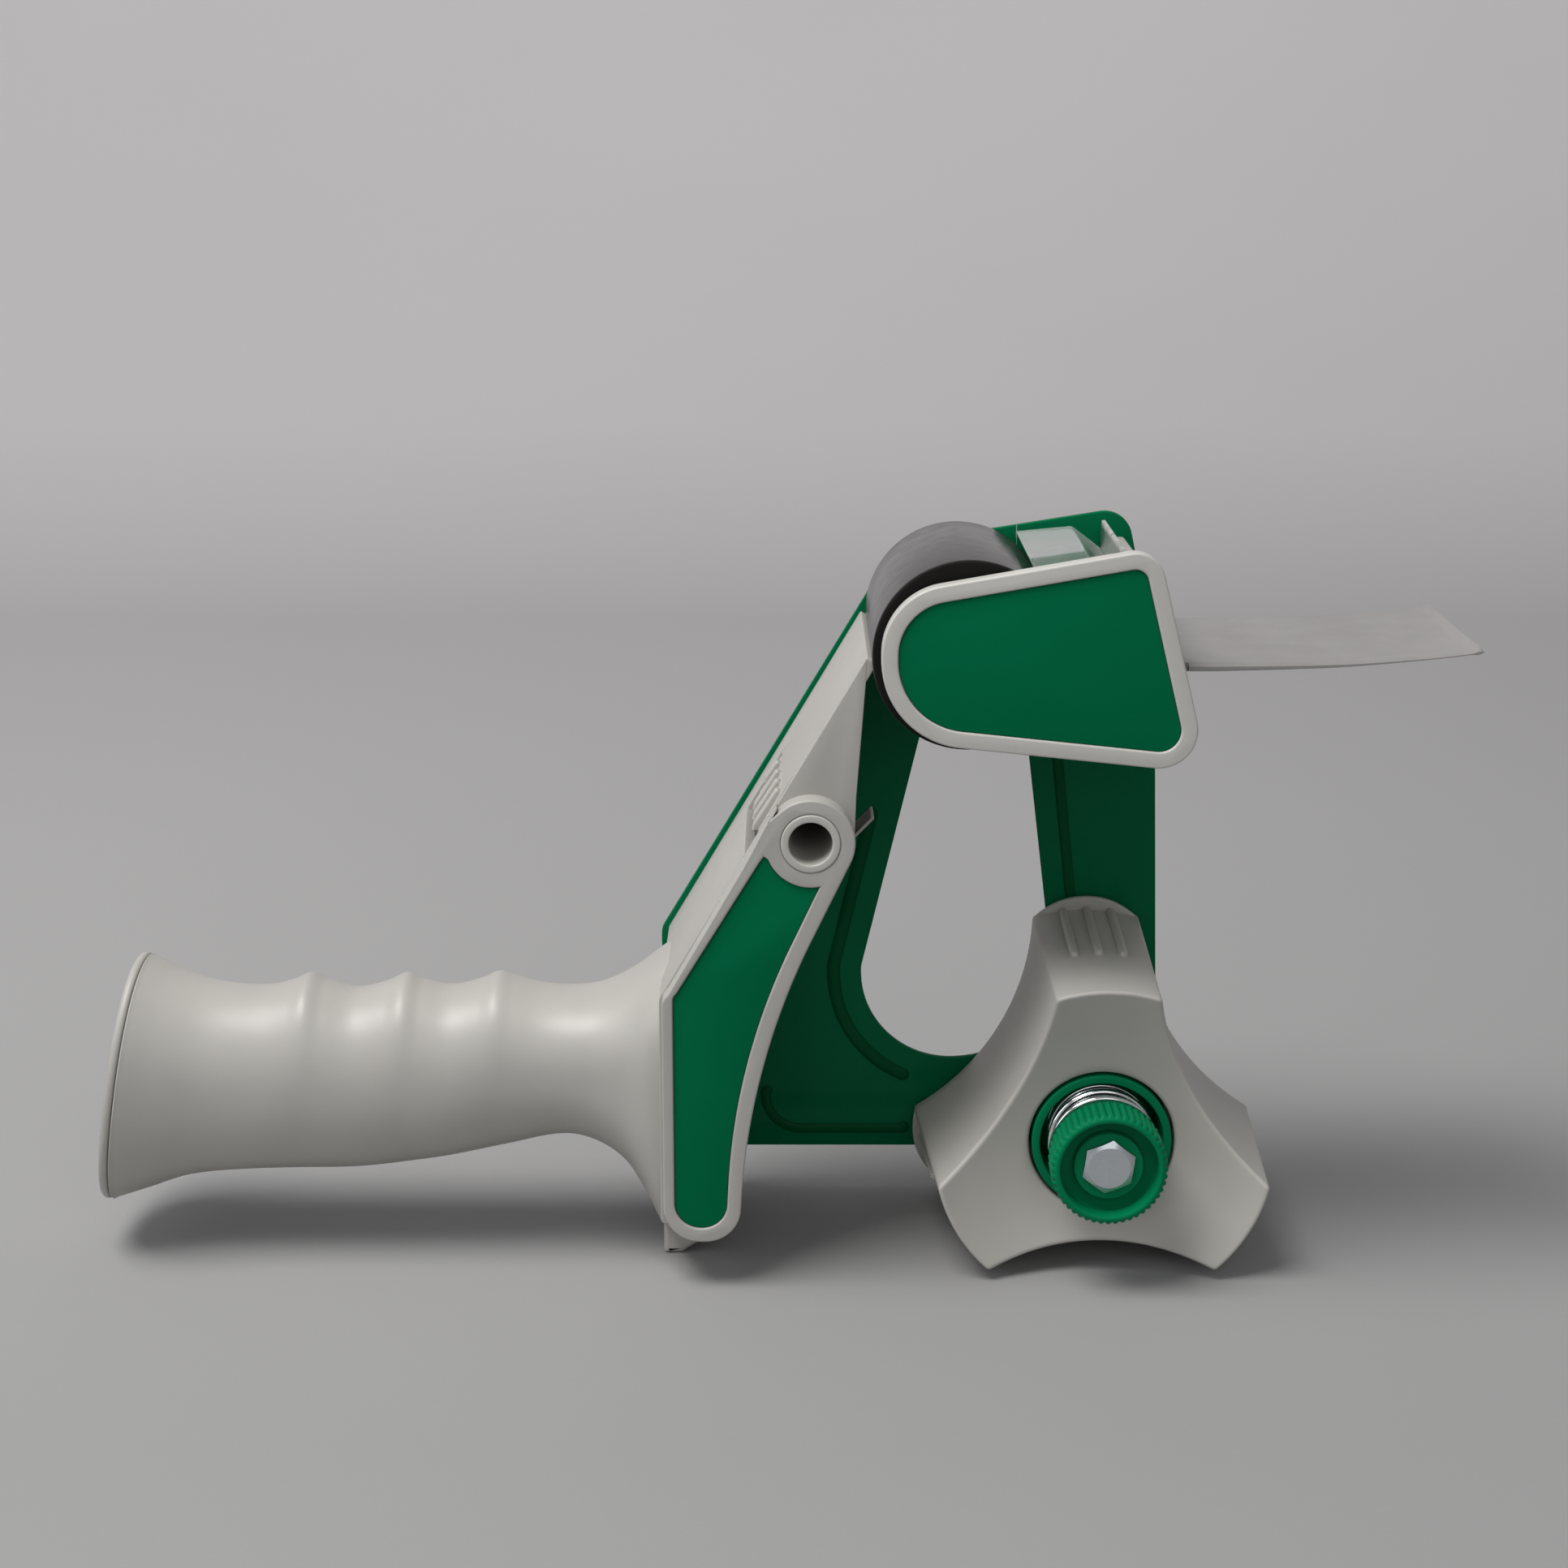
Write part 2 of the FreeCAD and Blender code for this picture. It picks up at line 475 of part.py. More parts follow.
for k in range(3):
    lip = slab([(-11.6, 64.6), (11.6, 64.6), (9.0, 67.6), (0, 69.4, 22), (-9.0, 67.6)], HUB_END - 1.6, HUB_END)
    ribs = [lip]
    for rx in (-5.2, 0.0, 5.2):
        rib = Part.makeBox(2.0, 26.0, 4.0, p(rx - 1.0, 62.6 - 0.06 * abs(rx), -4.0))
        rib.rotate(p(rx, 66.6, 9.0), V(1, 0, 0), 3.47)
        ribs.append(rib)
    for s in ribs:
        s.rotate(p(0, HUB_Z), V(0, 1, 0), 120 * k)
        hub = hub.fuse(s)
hub = hub.cut(rod(0, HUB_Z, CUP_R + 0.6, -40, CUP_FACE + 7.0)).cut(rod(0, HUB_Z, CUP_R + 0.05, -40, 2.0))
hub = hub.cut(rod(0, HUB_Z, 5.06, -40, 40))
save("tape_hub", hub)

cup = rod(0, HUB_Z, CUP_R, CUP_FACE, 2.0).cut(rod(0, HUB_Z, CUP_BORE, CUP_FACE - 1, -0.4))
save("hub_cup", cup.cut(rod(0, HUB_Z, BOLT_R + 0.2, -40, 40)))
save("hub_sleeve", rod(0, HUB_Z, 5.0, 2.4, PLATE_IN, BOLT_R + 0.1))
save("friction_washer", rod(0, HUB_Z, 12.0, HUB_END + 0.05, PLATE_IN, 5.05))

# ---------------------------------------------------------------- tension set
SEAT = KNOB_BACK + 1.2
save("tension_washer", rod(0, HUB_Z, 11.7, KNOB_BACK + 0.05, SEAT, BOLT_R + 0.1))
SPRING_R = 10.6
SPRING_WIRE = 0.8
COILS = 5.0
rise = (-0.4 - SEAT - 2 * SPRING_WIRE - 0.2) / COILS
save("tension_spring", coil(SPRING_R, SPRING_WIRE, rise, COILS, 0, HUB_Z, SEAT + SPRING_WIRE + 0.1, 60))

knob = rod(0, HUB_Z, KNOB_R - 0.7, KNOB_FACE, KNOB_BACK)
RIDGES = 48
for k in range(RIDGES):
    a = 2 * math.pi * k / RIDGES
    knob = knob.fuse(rod((KNOB_R - 0.75) * math.cos(a), HUB_Z + (KNOB_R - 0.75) * math.sin(a), 0.6,
                         KNOB_FACE + 0.8, KNOB_BACK - 0.6))
knob = knob.cut(rod(0, HUB_Z, 10.1, KNOB_FACE - 1, KNOB_FACE + 4.6))
knob = knob.fuse(rod(0, HUB_Z, 7.2, KNOB_FACE + 2.6, KNOB_FACE + 5))
head_back = KNOB_FACE + 5.4
knob = knob.cut(hexbar(0, HUB_Z, BOLT_AF + 0.04, KNOB_FACE, head_back))
knob = knob.cut(rod(0, HUB_Z, BOLT_R + 0.02, -40, 0))
save("tension_knob", knob)
bolt = hexbar(0, HUB_Z, BOLT_AF, head_back - 4.0, head_back)
crown = Part.makeCone(BOLT_AF / 2 - 0.7, BOLT_AF / 2 + 6.3, 4.05, p(0, HUB_Z, head_back - 4.0), V(0, 1, 0))
bolt = bolt.common(crown).fuse(rod(0, HUB_Z, BOLT_R, head_back - 1.0, PLATE_OUT + 5.9))
save("hub_bolt", bolt)
nut = hexbar(0, HUB_Z, 10.0, PLATE_OUT + 1.0, PLATE_OUT + 6.0, 0.0)
nut = nut.common(rod(0, HUB_Z, 5.65, 20, 40)).fuse(rod(0, HUB_Z, 6.6, PLATE_OUT, PLATE_OUT + 1.0))
save("hub_nut", nut.cut(rod(0, HUB_Z, BOLT_R + 0.03, 20, 40)))
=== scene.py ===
import math
import bpy
import bmesh
from mathutils import Matrix, Vector


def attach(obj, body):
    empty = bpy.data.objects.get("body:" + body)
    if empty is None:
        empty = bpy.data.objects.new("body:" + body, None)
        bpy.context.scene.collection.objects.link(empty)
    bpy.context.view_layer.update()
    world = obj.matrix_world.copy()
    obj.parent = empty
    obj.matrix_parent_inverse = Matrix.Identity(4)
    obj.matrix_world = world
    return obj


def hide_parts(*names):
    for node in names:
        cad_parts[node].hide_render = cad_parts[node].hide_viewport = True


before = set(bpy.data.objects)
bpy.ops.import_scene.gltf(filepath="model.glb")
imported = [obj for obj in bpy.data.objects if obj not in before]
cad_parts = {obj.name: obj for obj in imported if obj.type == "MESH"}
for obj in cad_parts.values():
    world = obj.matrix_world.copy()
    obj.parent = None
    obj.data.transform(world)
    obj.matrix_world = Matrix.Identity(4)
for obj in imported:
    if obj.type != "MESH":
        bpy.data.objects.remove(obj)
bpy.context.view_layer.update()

# Side outlines are (x from the hub axis, z above the floor) in mm. Y runs from the open side (minus)
# to the plate side (plus), measured from the middle of the tape.
MM = 0.001
HUB_X, HUB_Z = 70.0, 28.4
SLOPE = math.radians(59.4)
TIP_X, TIP_Z = -49.9, 132.8
BOSS_X, BOSS_Z = -61.0, 95.6
ROLL_X, ROLL_Z, ROLL_R = -29.8, 133.3, 19.15
PLATE_IN, PLATE_OUT = 26.5, 28.0
ARM_FAR = 26.45
TAPE_HALF = 25.0
BEAD_Y = 26.55
PAD_Y0, PAD_Y1 = -20.0, 16.6
SIDE = Matrix(((1, 0, 0, 0), (0, 0, -1, 0), (0, 1, 0, 0), (0, 0, 0, 1)))


def face_z(x):
    """Height of the arm's sloping face."""
    return TIP_Z + (x - TIP_X) * math.tan(SLOPE)


WIN_X = -74.5
WIN_Z = face_z(WIN_X)


def along(s, out):
    """Point s up the sloping face from the window's lower end, and out from the face."""
    ex, ez = math.cos(SLOPE), math.sin(SLOPE)
    return (WIN_X + s * ex - out * ez, WIN_Z + s * ez + out * ex)


# ------------------------------------------------------------------ materials
def nodes_of(name):
    """A new material with one shader: (material, node tree, shader)."""
    m = bpy.data.materials.new(name)
    m.use_nodes = True
    nt = m.node_tree
    nt.nodes.clear()
    out = nt.nodes.new("ShaderNodeOutputMaterial")
    bs = nt.nodes.new("ShaderNodeBsdfPrincipled")
    nt.links.new(bs.outputs[0], out.inputs[0])
    return m, nt, bs


def noise(nt, scale, detail=3.0, rough=0.5, stretch=None):
    tc = nt.nodes.new("ShaderNodeTexCoord")
    n = nt.nodes.new("ShaderNodeTexNoise")
    n.inputs["Scale"].default_value = scale
    n.inputs["Detail"].default_value = detail
    n.inputs["Roughness"].default_value = rough
    if stretch:
        mp = nt.nodes.new("ShaderNodeMapping")
        mp.inputs["Scale"].default_value = stretch
        nt.links.new(tc.outputs["Object"], mp.inputs[0])
        nt.links.new(mp.outputs[0], n.inputs["Vector"])
    else:
        nt.links.new(tc.outputs["Object"], n.inputs["Vector"])
    return n.outputs[0]


def ramp(nt, fac, stops):
    r = nt.nodes.new("ShaderNodeValToRGB")
    e = r.color_ramp.elements
    while len(e) < len(stops):
        e.new(0.5)
    for i, (pos, c) in enumerate(stops):
        e[i].position = pos
        e[i].color = (c[0], c[1], c[2], 1) if isinstance(c, tuple) else (c, c, c, 1)
    nt.links.new(fac, r.inputs[0])
    return r.outputs[0]


def bump(nt, bs, height, strength, distance=0.0002):
    b = nt.nodes.new("ShaderNodeBump")
    b.inputs["Strength"].default_value = strength
    b.inputs["Distance"].default_value = distance
    nt.links.new(height, b.inputs["Height"])
    nt.links.new(b.outputs[0], bs.inputs["Normal"])
    return b


def tone(c, k):
    return tuple(min(1.0, v * k) for v in c)


def plastic(name, c, rough, grain=2600.0, grain_bump=0.12, vary=0.05, coat=0.0, sss=0.0, spec=0.5):
    m, nt, bs = nodes_of(name)
    big = noise(nt, 22.0, 4.0, 0.55)
    col = ramp(nt, big, [(0.30, tone(c, 1 - vary)), (0.70, tone(c, 1 + vary))])
    nt.links.new(col, bs.inputs["Base Color"])
    fine = noise(nt, grain, 2.0, 0.6)
    mid = noise(nt, 90.0, 4.0, 0.6)
    nt.links.new(ramp(nt, mid, [(0.30, rough - 0.035), (0.72, rough + 0.045)]), bs.inputs["Roughness"])
    bump(nt, bs, fine, grain_bump, 0.00006)
    bs.inputs["Coat Weight"].default_value = coat
    bs.inputs["Coat Roughness"].default_value = 0.12
    bs.inputs["Specular IOR Level"].default_value = spec
    if sss:
        bs.inputs["Subsurface Weight"].default_value = sss
        bs.inputs["Subsurface Radius"].default_value = (0.0016, 0.0014, 0.0012)
    return m


def metal(name, c, rough, stretch=(1, 1, 1), scale=400.0, vary=0.08, strength=0.1):
    m, nt, bs = nodes_of(name)
    g = noise(nt, scale, 4.0, 0.6, stretch)
    big = noise(nt, 35.0, 3.0, 0.5)
    col = ramp(nt, big, [(0.3, tone(c, 1 - vary)), (0.7, tone(c, 1 + vary))])
    nt.links.new(col, bs.inputs["Base Color"])
    nt.links.new(ramp(nt, g, [(0.3, rough - 0.06), (0.7, rough + 0.08)]), bs.inputs["Roughness"])
    bs.inputs["Metallic"].default_value = 1.0
    bump(nt, bs, g, strength, 0.00005)
    return m


GREY = plastic("grey_moulding", (0.40, 0.388, 0.363), 0.43, sss=0.08)
HEADG = plastic("head_moulding", (0.51, 0.497, 0.468), 0.43, sss=0.08)
HUBG = plastic("hub_moulding", (0.43, 0.42, 0.39), 0.46, sss=0.05, spec=0.4)
INLAY = plastic("green_inlay", (0.0006, 0.132, 0.053), 0.40, grain=3400.0, grain_bump=0.06,
                vary=0.025, spec=0.02)
KNOBG = plastic("green_knob", (0.001, 0.170, 0.068), 0.36, vary=0.05, spec=0.05)
BLACK = plastic("black_plastic", (0.012, 0.0115, 0.011), 0.55, vary=0.15)
FIBRE = plastic("fibre_washer", (0.03, 0.028, 0.026), 0.8, grain=900.0, grain_bump=0.5, vary=0.25)
TUBE = plastic("pivot_moulding", (0.46, 0.445, 0.415), 0.36)


def paint(name, low, high):
    m, nt, bs = nodes_of(name)
    big = noise(nt, 16.0, 3.0, 0.5)
    nt.links.new(ramp(nt, big, [(0.3, low), (0.7, high)]), bs.inputs["Base Color"])
    peel = noise(nt, 420.0, 2.0, 0.5)
    nt.links.new(ramp(nt, peel, [(0.3, 0.20), (0.7, 0.27)]), bs.inputs["Roughness"])
    bump(nt, bs, peel, 0.10, 0.00008)
    bs.inputs["Specular IOR Level"].default_value = 0.03
    bs.inputs["Coat Weight"].default_value = 0.05
    bs.inputs["Coat Roughness"].default_value = 0.08
    return m


PAINT = paint("green_steel", (0.0004, 0.118, 0.045), (0.0006, 0.132, 0.052))
# A darker copy of the green paint for the stamped beads: painted shade along the beads, not a second paint.
GREEN_BEAD_SHADE = paint("green_bead_painted_shade", (0.0004, 0.070, 0.022), (0.0006, 0.080, 0.028))


def rubber():
    m, nt, bs = nodes_of("roller_rubber")
    streak = noise(nt, 60.0, 5.0, 0.6, (1, 0.08, 1))
    col = ramp(nt, streak, [(0.3, (0.030, 0.029, 0.029)), (0.7, (0.042, 0.040, 0.040))])
    nt.links.new(col, bs.inputs["Base Color"])
    nt.links.new(ramp(nt, noise(nt, 300.0, 3.0), [(0.3, 0.17), (0.7, 0.24)]), bs.inputs["Roughness"])
    bump(nt, bs, noise(nt, 900.0, 2.0), 0.05, 0.00004)
    bs.inputs["Specular IOR Level"].default_value = 0.75
    return m


RUBBER = rubber()
# A darker, duller copy of the roller rubber for its end faces: the darker colour is painted shade where the
# ends look black.
END_RUBBER_SHADE = plastic("roller_end_painted_shade", (0.006, 0.0055, 0.005), 0.7, grain=1500.0, vary=0.2)
END_RUBBER_SHADE.node_tree.nodes["Principled BSDF"].inputs["Specular IOR Level"].default_value = 0.15


def flap_mat():
    m, nt, bs = nodes_of("flap_plastic")
    cloud = noise(nt, 40.0, 4.0, 0.6, (1, 0.3, 1))
    col = ramp(nt, cloud, [(0.3, (0.31, 0.30, 0.293)), (0.7, (0.37, 0.358, 0.352))])
    nt.links.new(col, bs.inputs["Base Color"])
    nt.links.new(ramp(nt, noise(nt, 120.0, 3.0), [(0.3, 0.28), (0.7, 0.38)]), bs.inputs["Roughness"])
    bs.inputs["Transmission Weight"].default_value = 0.28
    bs.inputs["Subsurface Weight"].default_value = 0.25
    bs.inputs["Subsurface Radius"].default_value = (0.003, 0.003, 0.003)
    bump(nt, bs, cloud, 0.15, 0.0002)
    return m


FLAP = flap_mat()


def clear_mat():
    m, nt, bs = nodes_of("clear_guide")
    col = ramp(nt, noise(nt, 50.0, 3.0), [(0.3, (0.86, 0.93, 0.90)), (0.7, (0.95, 0.98, 0.96))])
    nt.links.new(col, bs.inputs["Base Color"])
    nt.links.new(ramp(nt, noise(nt, 200.0, 3.0), [(0.3, 0.05), (0.7, 0.11)]), bs.inputs["Roughness"])
    bs.inputs["Transmission Weight"].default_value = 0.80
    bs.inputs["IOR"].default_value = 1.45
    return m


CLEAR = clear_mat()
ZINC = metal("zinc_plate", (0.62, 0.66, 0.69), 0.27, vary=0.06)
CHROME = metal("bright_plate", (0.78, 0.79, 0.80), 0.12, vary=0.03, strength=0.04)
STEEL = metal("blade_steel", (0.60, 0.60, 0.57), 0.33, (1, 1, 0.06), 700.0, 0.07, 0.2)
DARKSTEEL = metal("strip_steel", (0.33, 0.32, 0.30), 0.35, (0.2, 1, 1), 500.0, 0.12, 0.2)


# ------------------------------------------------------------------ mesh tools
def rounded(corners, step=7.0, soft=0.3):
    """Side-view outline as a list of points; corners are (x, z) or (x, z, radius)."""
    out = []
    n = len(corners)
    for i in range(n):
        a, b, c = corners[i - 1], corners[i], corners[(i + 1) % n]
        vb = Vector((b[0], b[1]))
        r = b[2] if len(b) > 2 else soft
        if r <= 0:
            out.append(vb)
            continue
        u = (Vector((a[0], a[1])) - vb).normalized()
        w = (Vector((c[0], c[1])) - vb).normalized()
        half = u.angle(w) / 2
        t = r / math.tan(half)
        centre = vb + (u + w).normalized() * (r / math.sin(half))
        p0, p1 = vb + u * t - centre, vb + w * t - centre
        sweep = p0.angle(p1)
        sign = 1 if p0.x * p1.y - p0.y * p1.x > 0 else -1
        k = max(3, int(math.degrees(sweep) / step) + 1)
        k = max(k, min(40, int(sweep * r / 1.5)))
        for j in range(k + 1):
            a_ = sign * sweep * j / k
            out.append(centre + Vector((p0.x * math.cos(a_) - p0.y * math.sin(a_),
                                        p0.x * math.sin(a_) + p0.y * math.cos(a_))))
    return out


def circle(x, z, r, n=64):
    turns = [2 * math.pi * k / n for k in range(n)]
    return [Vector((x + r * math.cos(a), z + r * math.sin(a))) for a in turns]


def boss_arc(stops):
    """Points about the boss for (degrees, radius) pairs."""
    return [Vector((BOSS_X + r * math.cos(math.radians(a)), BOSS_Z + r * math.sin(math.radians(a))))
            for a, r in stops]


def add(name, mesh, mat, body, replaces, smooth=35.0):
    """A shown piece that rides a body and stands for CAD nodes, shaded smooth below that angle."""
    o = bpy.data.objects.new(name, mesh)
    bpy.context.scene.collection.objects.link(o)
    mesh.materials.clear()
    mesh.materials.append(mat)
    for poly in mesh.polygons:
        poly.use_smooth = True
    mesh.set_sharp_from_angle(angle=math.radians(smooth))
    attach(o, body)
    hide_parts(*replaces)
    return o


def dense(ring, step=4.0):
    """The same outline with long straight runs divided."""
    out = []
    for a, b in zip(ring, list(ring[1:]) + [ring[0]]):
        a, b = Vector((a[0], a[1])), Vector((b[0], b[1]))
        k = max(1, int((b - a).length / step))
        out += [a.lerp(b, j / k) for j in range(k)]
    return out


def slab_mesh(outer, holes, y0, y1, bevel=0.35, res=3, frame_m=None):
    """Prism of a flat outline with rounded rims. Outline in mm; y0 and y1 along the third axis."""
    cu = bpy.data.curves.new("outline", "CURVE")
    cu.dimensions = "2D"
    cu.fill_mode = "BOTH"
    for ring in [dense(outer)] + [dense(h) for h in holes]:
        sp = cu.splines.new("POLY")
        sp.points.add(len(ring) - 1)
        for i, v in enumerate(ring):
            sp.points[i].co = (v[0], v[1], 0, 1)
        sp.use_cyclic_u = True
    half = (y1 - y0) / 2
    cu.extrude = max(half - bevel, 0.001)
    cu.bevel_depth = bevel
    cu.bevel_resolution = res
    cu.offset = -bevel
    ob = bpy.data.objects.new("outline", cu)
    bpy.context.scene.collection.objects.link(ob)
    dg = bpy.context.evaluated_depsgraph_get()
    me = bpy.data.meshes.new_from_object(ob.evaluated_get(dg))
    bpy.data.objects.remove(ob)
    bpy.data.curves.remove(cu)
    if frame_m is None:
        m = Matrix.Translation((HUB_X, (y0 + y1) / 2, 0)) @ SIDE
    else:
        m = frame_m @ Matrix.Translation((0, 0, (y0 + y1) / 2))
    me.transform(Matrix.Scale(MM, 4) @ m)
    bm = bmesh.new()
    bm.from_mesh(me)
    bmesh.ops.remove_doubles(bm, verts=bm.verts, dist=1e-6)
    bmesh.ops.dissolve_limit(bm, angle_limit=math.radians(0.5), verts=bm.verts, edges=bm.edges)
    bmesh.ops.recalc_face_normals(bm, faces=bm.faces)
    bm.to_mesh(me)
    bm.free()
    return me


def join(meshes):
    bm = bmesh.new()
    for me in meshes:
        bm.from_mesh(me)
    out = bpy.data.meshes.new("joined")
    bm.to_mesh(out)
    bm.free()
    return out


def lathe_mesh(profile, x, z, n=96, closed=True):
    """Turned part: profile of (radius, y) in mm about an axis along Y through (x, z)."""
    bm = bmesh.new()
    rings = []
    turns = [2 * math.pi * k / n for k in range(n)]
    for r, y in profile:
        rings.append([bm.verts.new(((x + HUB_X + r * math.cos(a)) * MM, y * MM, (z + r * math.sin(a)) * MM))
                      for a in turns])
    pairs = list(zip(rings, rings[1:])) + ([(rings[-1], rings[0])] if closed else [])
    for a, b in pairs:
        for k in range(n):
            bm.faces.new((a[k], a[(k + 1) % n], b[(k + 1) % n], b[k]))
    if not closed:
        bm.faces.new(rings[0])
        bm.faces.new(rings[-1])
    bmesh.ops.recalc_face_normals(bm, faces=bm.faces)
    me = bpy.data.meshes.new("turned")
    bm.to_mesh(me)
    bm.free()
    return me


def turned(corners):
    """Rounded profile (r, y[, radius]) as points."""
    return [(v.x, v.y) for v in rounded(corners, 20.0, 0.0)]


def tube_mesh(points, r, squash_y=1.0, segs=12):
    """Round bar along side-view points (x, y, z) mm with rounded ends, flattened along Y."""
    pts = [Vector(q) for q in points]
    bm = bmesh.new()
    rings = []
    stations = []
    d0 = (pts[1] - pts[0]).normalized()
    d1 = (pts[-1] - pts[-2]).normalized()
    for a in (80, 60, 40, 20):
        stations.append((pts[0] - d0 * r * math.sin(math.radians(a)), d0, math.cos(math.radians(a))))
    for i, q in enumerate(pts):
        d = (pts[min(i + 1, len(pts) - 1)] - pts[max(i - 1, 0)]).normalized()
        stations.append((q, d, 1.0))
    for a in (20, 40, 60, 80):
        stations.append((pts[-1] + d1 * r * math.sin(math.radians(a)), d1, math.cos(math.radians(a))))
    lengthwise = abs(d0.y) > 0.9
    for q, d, k in stations:
        up = Vector((0, 0, 1)) if lengthwise else Vector((0, 1, 0))
        side = d.cross(up).normalized()
        ring = []
        for j in range(segs):
            a = 2 * math.pi * j / segs
            v = q + side * (r * k * math.cos(a)) + up * (r * k * squash_y * math.sin(a))
            ring.append(bm.verts.new(((v.x + HUB_X) * MM, v.y * MM, v.z * MM)))
        rings.append(ring)
    for a, b in zip(rings, rings[1:]):
        for j in range(segs):
            bm.faces.new((a[j], a[(j + 1) % segs], b[(j + 1) % segs], b[j]))
    bm.faces.new(rings[0])
    bm.faces.new(rings[-1])
    bmesh.ops.recalc_face_normals(bm, faces=bm.faces)
    me = bpy.data.meshes.new("bar")
    bm.to_mesh(me)
    bm.free()
    return me


def offset(ring, d):
    """Ring moved inward by d (counter-clockwise or clockwise)."""
    area = sum(a[0] * b[1] - b[0] * a[1] for a, b in zip(ring, ring[1:] + ring[:1]))
    s = 1 if area > 0 else -1
    out = []
    n = len(ring)
    for i in range(n):
        a, b, c = ring[i - 1], ring[i], ring[(i + 1) % n]
        e1, e2 = (b - a), (c - b)
        if e1.length < 1e-7 or e2.length < 1e-7:
            out.append(b.copy())
            continue
        n1 = Vector((-e1.y, e1.x)).normalized() * s
        n2 = Vector((-e2.y, e2.x)).normalized() * s
        m = (n1 + n2)
        m = m / max(m.length_squared / 2, 0.2)
        out.append(b + m * d)
    return out


# ------------------------------------------------------------------ side plate
plate_edge = [(-88.5, 10.4, 6), (17.9, 10.4, 17.0), (16.0, 52.0, 30), (14.5, 98.0, 60), (14.3, 121.0, 40),
              (6.6, 155.1, 6), (-42.5, 147.2, 8), (-48.4, 137.0, 4), (-93.4, 61.5, 4), (-93.4, 57.0, 2),
              (-88.5, 50.0, 4)]
tear = [(-48.7, 29.0, 20), (-7.9, 33.4, 20), (-8.2, 62.0, 8), (-15.2, 118.0, 9.5), (-33.8, 118.0, 9.5),
        (-49.3, 52.5, 6)]
tear_ring = rounded(tear)
holes = [tear_ring]
for hx, hz, hr in ((0, HUB_Z, 3.2), (ROLL_X, ROLL_Z, 3.05), (-83, 20, 2.0), (-83, 54, 2.0),
                   (-57.2, 111.5, 2.0), (5.2, 142, 2.0), (8.6, 125, 2.0)):
    holes.append(circle(hx, hz, hr, 32))
plate = [slab_mesh(rounded(plate_edge), holes, PLATE_IN, PLATE_OUT, 0.3)]
around = [v for v in dense(offset(tear_ring, -6.1)) if v.x < -35.5 and 27 < v.y < 91]
around = sorted(around, key=lambda v: math.atan2(v.y - 54, v.x + 28.5) % (2 * math.pi))
plate.append(tube_mesh([(v.x, BEAD_Y, v.y) for v in around], 1.5, 0.4))
right = [(-6.8, BEAD_Y, 100), (-5.5, BEAD_Y, 88), (-4.2, BEAD_Y, 77), (-3.2, BEAD_Y, 68)]
plate.append(tube_mesh(right, 1.2, 0.48))
low = rounded([(-37.5, 14.5), (-70.5, 14.5, 8), (-70.5, 23.6)])
plate.append(tube_mesh([(v.x, BEAD_Y, v.y) for v in low], 1.15, 0.48))
plate_ob = add("plate_steel", join(plate), PAINT, "frame", ["side_plate"], 40)
# The bead faces standing in front of the plate take the darker paint copy: painted shade on the beads.
plate_ob.data.materials.append(GREEN_BEAD_SHADE)
for poly in plate_ob.data.polygons:
    if poly.center.y < 0.02649:
        poly.material_index = 1

# ------------------------------------------------------------------ grip
TOP = [(-201.5, 63.1), (-195.4, 60.0), (-188.6, 57.5), (-182.0, 56.4), (-175.4, 56.4), (-170.6, 57.7),
       (-167.1, 59.1), (-163.6, 57.6), (-157.0, 55.9), (-150.4, 57.5), (-146.6, 59.1), (-143.0, 57.6),
       (-137.0, 56.4), (-130.6, 57.9), (-127.0, 59.4), (-123.4, 58.3), (-117.7, 56.6), (-111.9, 55.9),
       (-105.1, 56.3), (-98.1, 59.1), (-92.1, 63.1), (-86.0, 67.0)]
LOW = [(-201.5, 10.0), (-195.4, 12.6), (-188.6, 15.4), (-178.0, 16.6), (-157.2, 17.1), (-140.5, 19.2),
       (-126.0, 22.2), (-113.0, 25.1), (-106.0, 23.9), (-99.6, 19.6), (-95.0, 12.4), (-92.0, 6.4),
       (-86.0, 3.0)]
HALF = [(-201.5, 20.0), (-195.4, 18.4), (-186.0, 16.6), (-170.0, 16.0), (-140.0, 15.8), (-118.0, 15.5),
        (-108.0, 16.4), (-100.0, 19.0), (-94.0, 22.4), (-86.0, 24.2)]
SQUARE = [(-201.5, 2.2), (-120.0, 2.2), (-100.0, 2.8), (-86.0, 3.6)]
END = -201.5
LEAN = 8.7


def smooth(table, x):
    """Value at x of a soft curve through a table of (x, value)."""
    n = len(table)
    k = 0
    while k < n - 2 and x > table[k + 1][0]:
        k += 1
    x0, y0 = table[k]
    x1, y1 = table[k + 1]
    xa, ya = table[max(k - 1, 0)]
    xb, yb = table[min(k + 2, n - 1)]
    h = x1 - x0
    m0 = (y1 - ya) / (x1 - xa) * h
    m1 = (yb - y0) / (xb - x0) * h
    t = (x - x0) / h
    return (y0 * (2 * t ** 3 - 3 * t ** 2 + 1) + m0 * (t ** 3 - 2 * t ** 2 + t)
            + y1 * (3 * t ** 2 - 2 * t ** 3) + m1 * (t ** 3 - t ** 2))


def lean(x):
    """How far the grip's lower line falls back near its end."""
    return 0.0 if x > -160.0 else LEAN * ((-160.0 - x) / (-160.0 - END)) ** 1.6


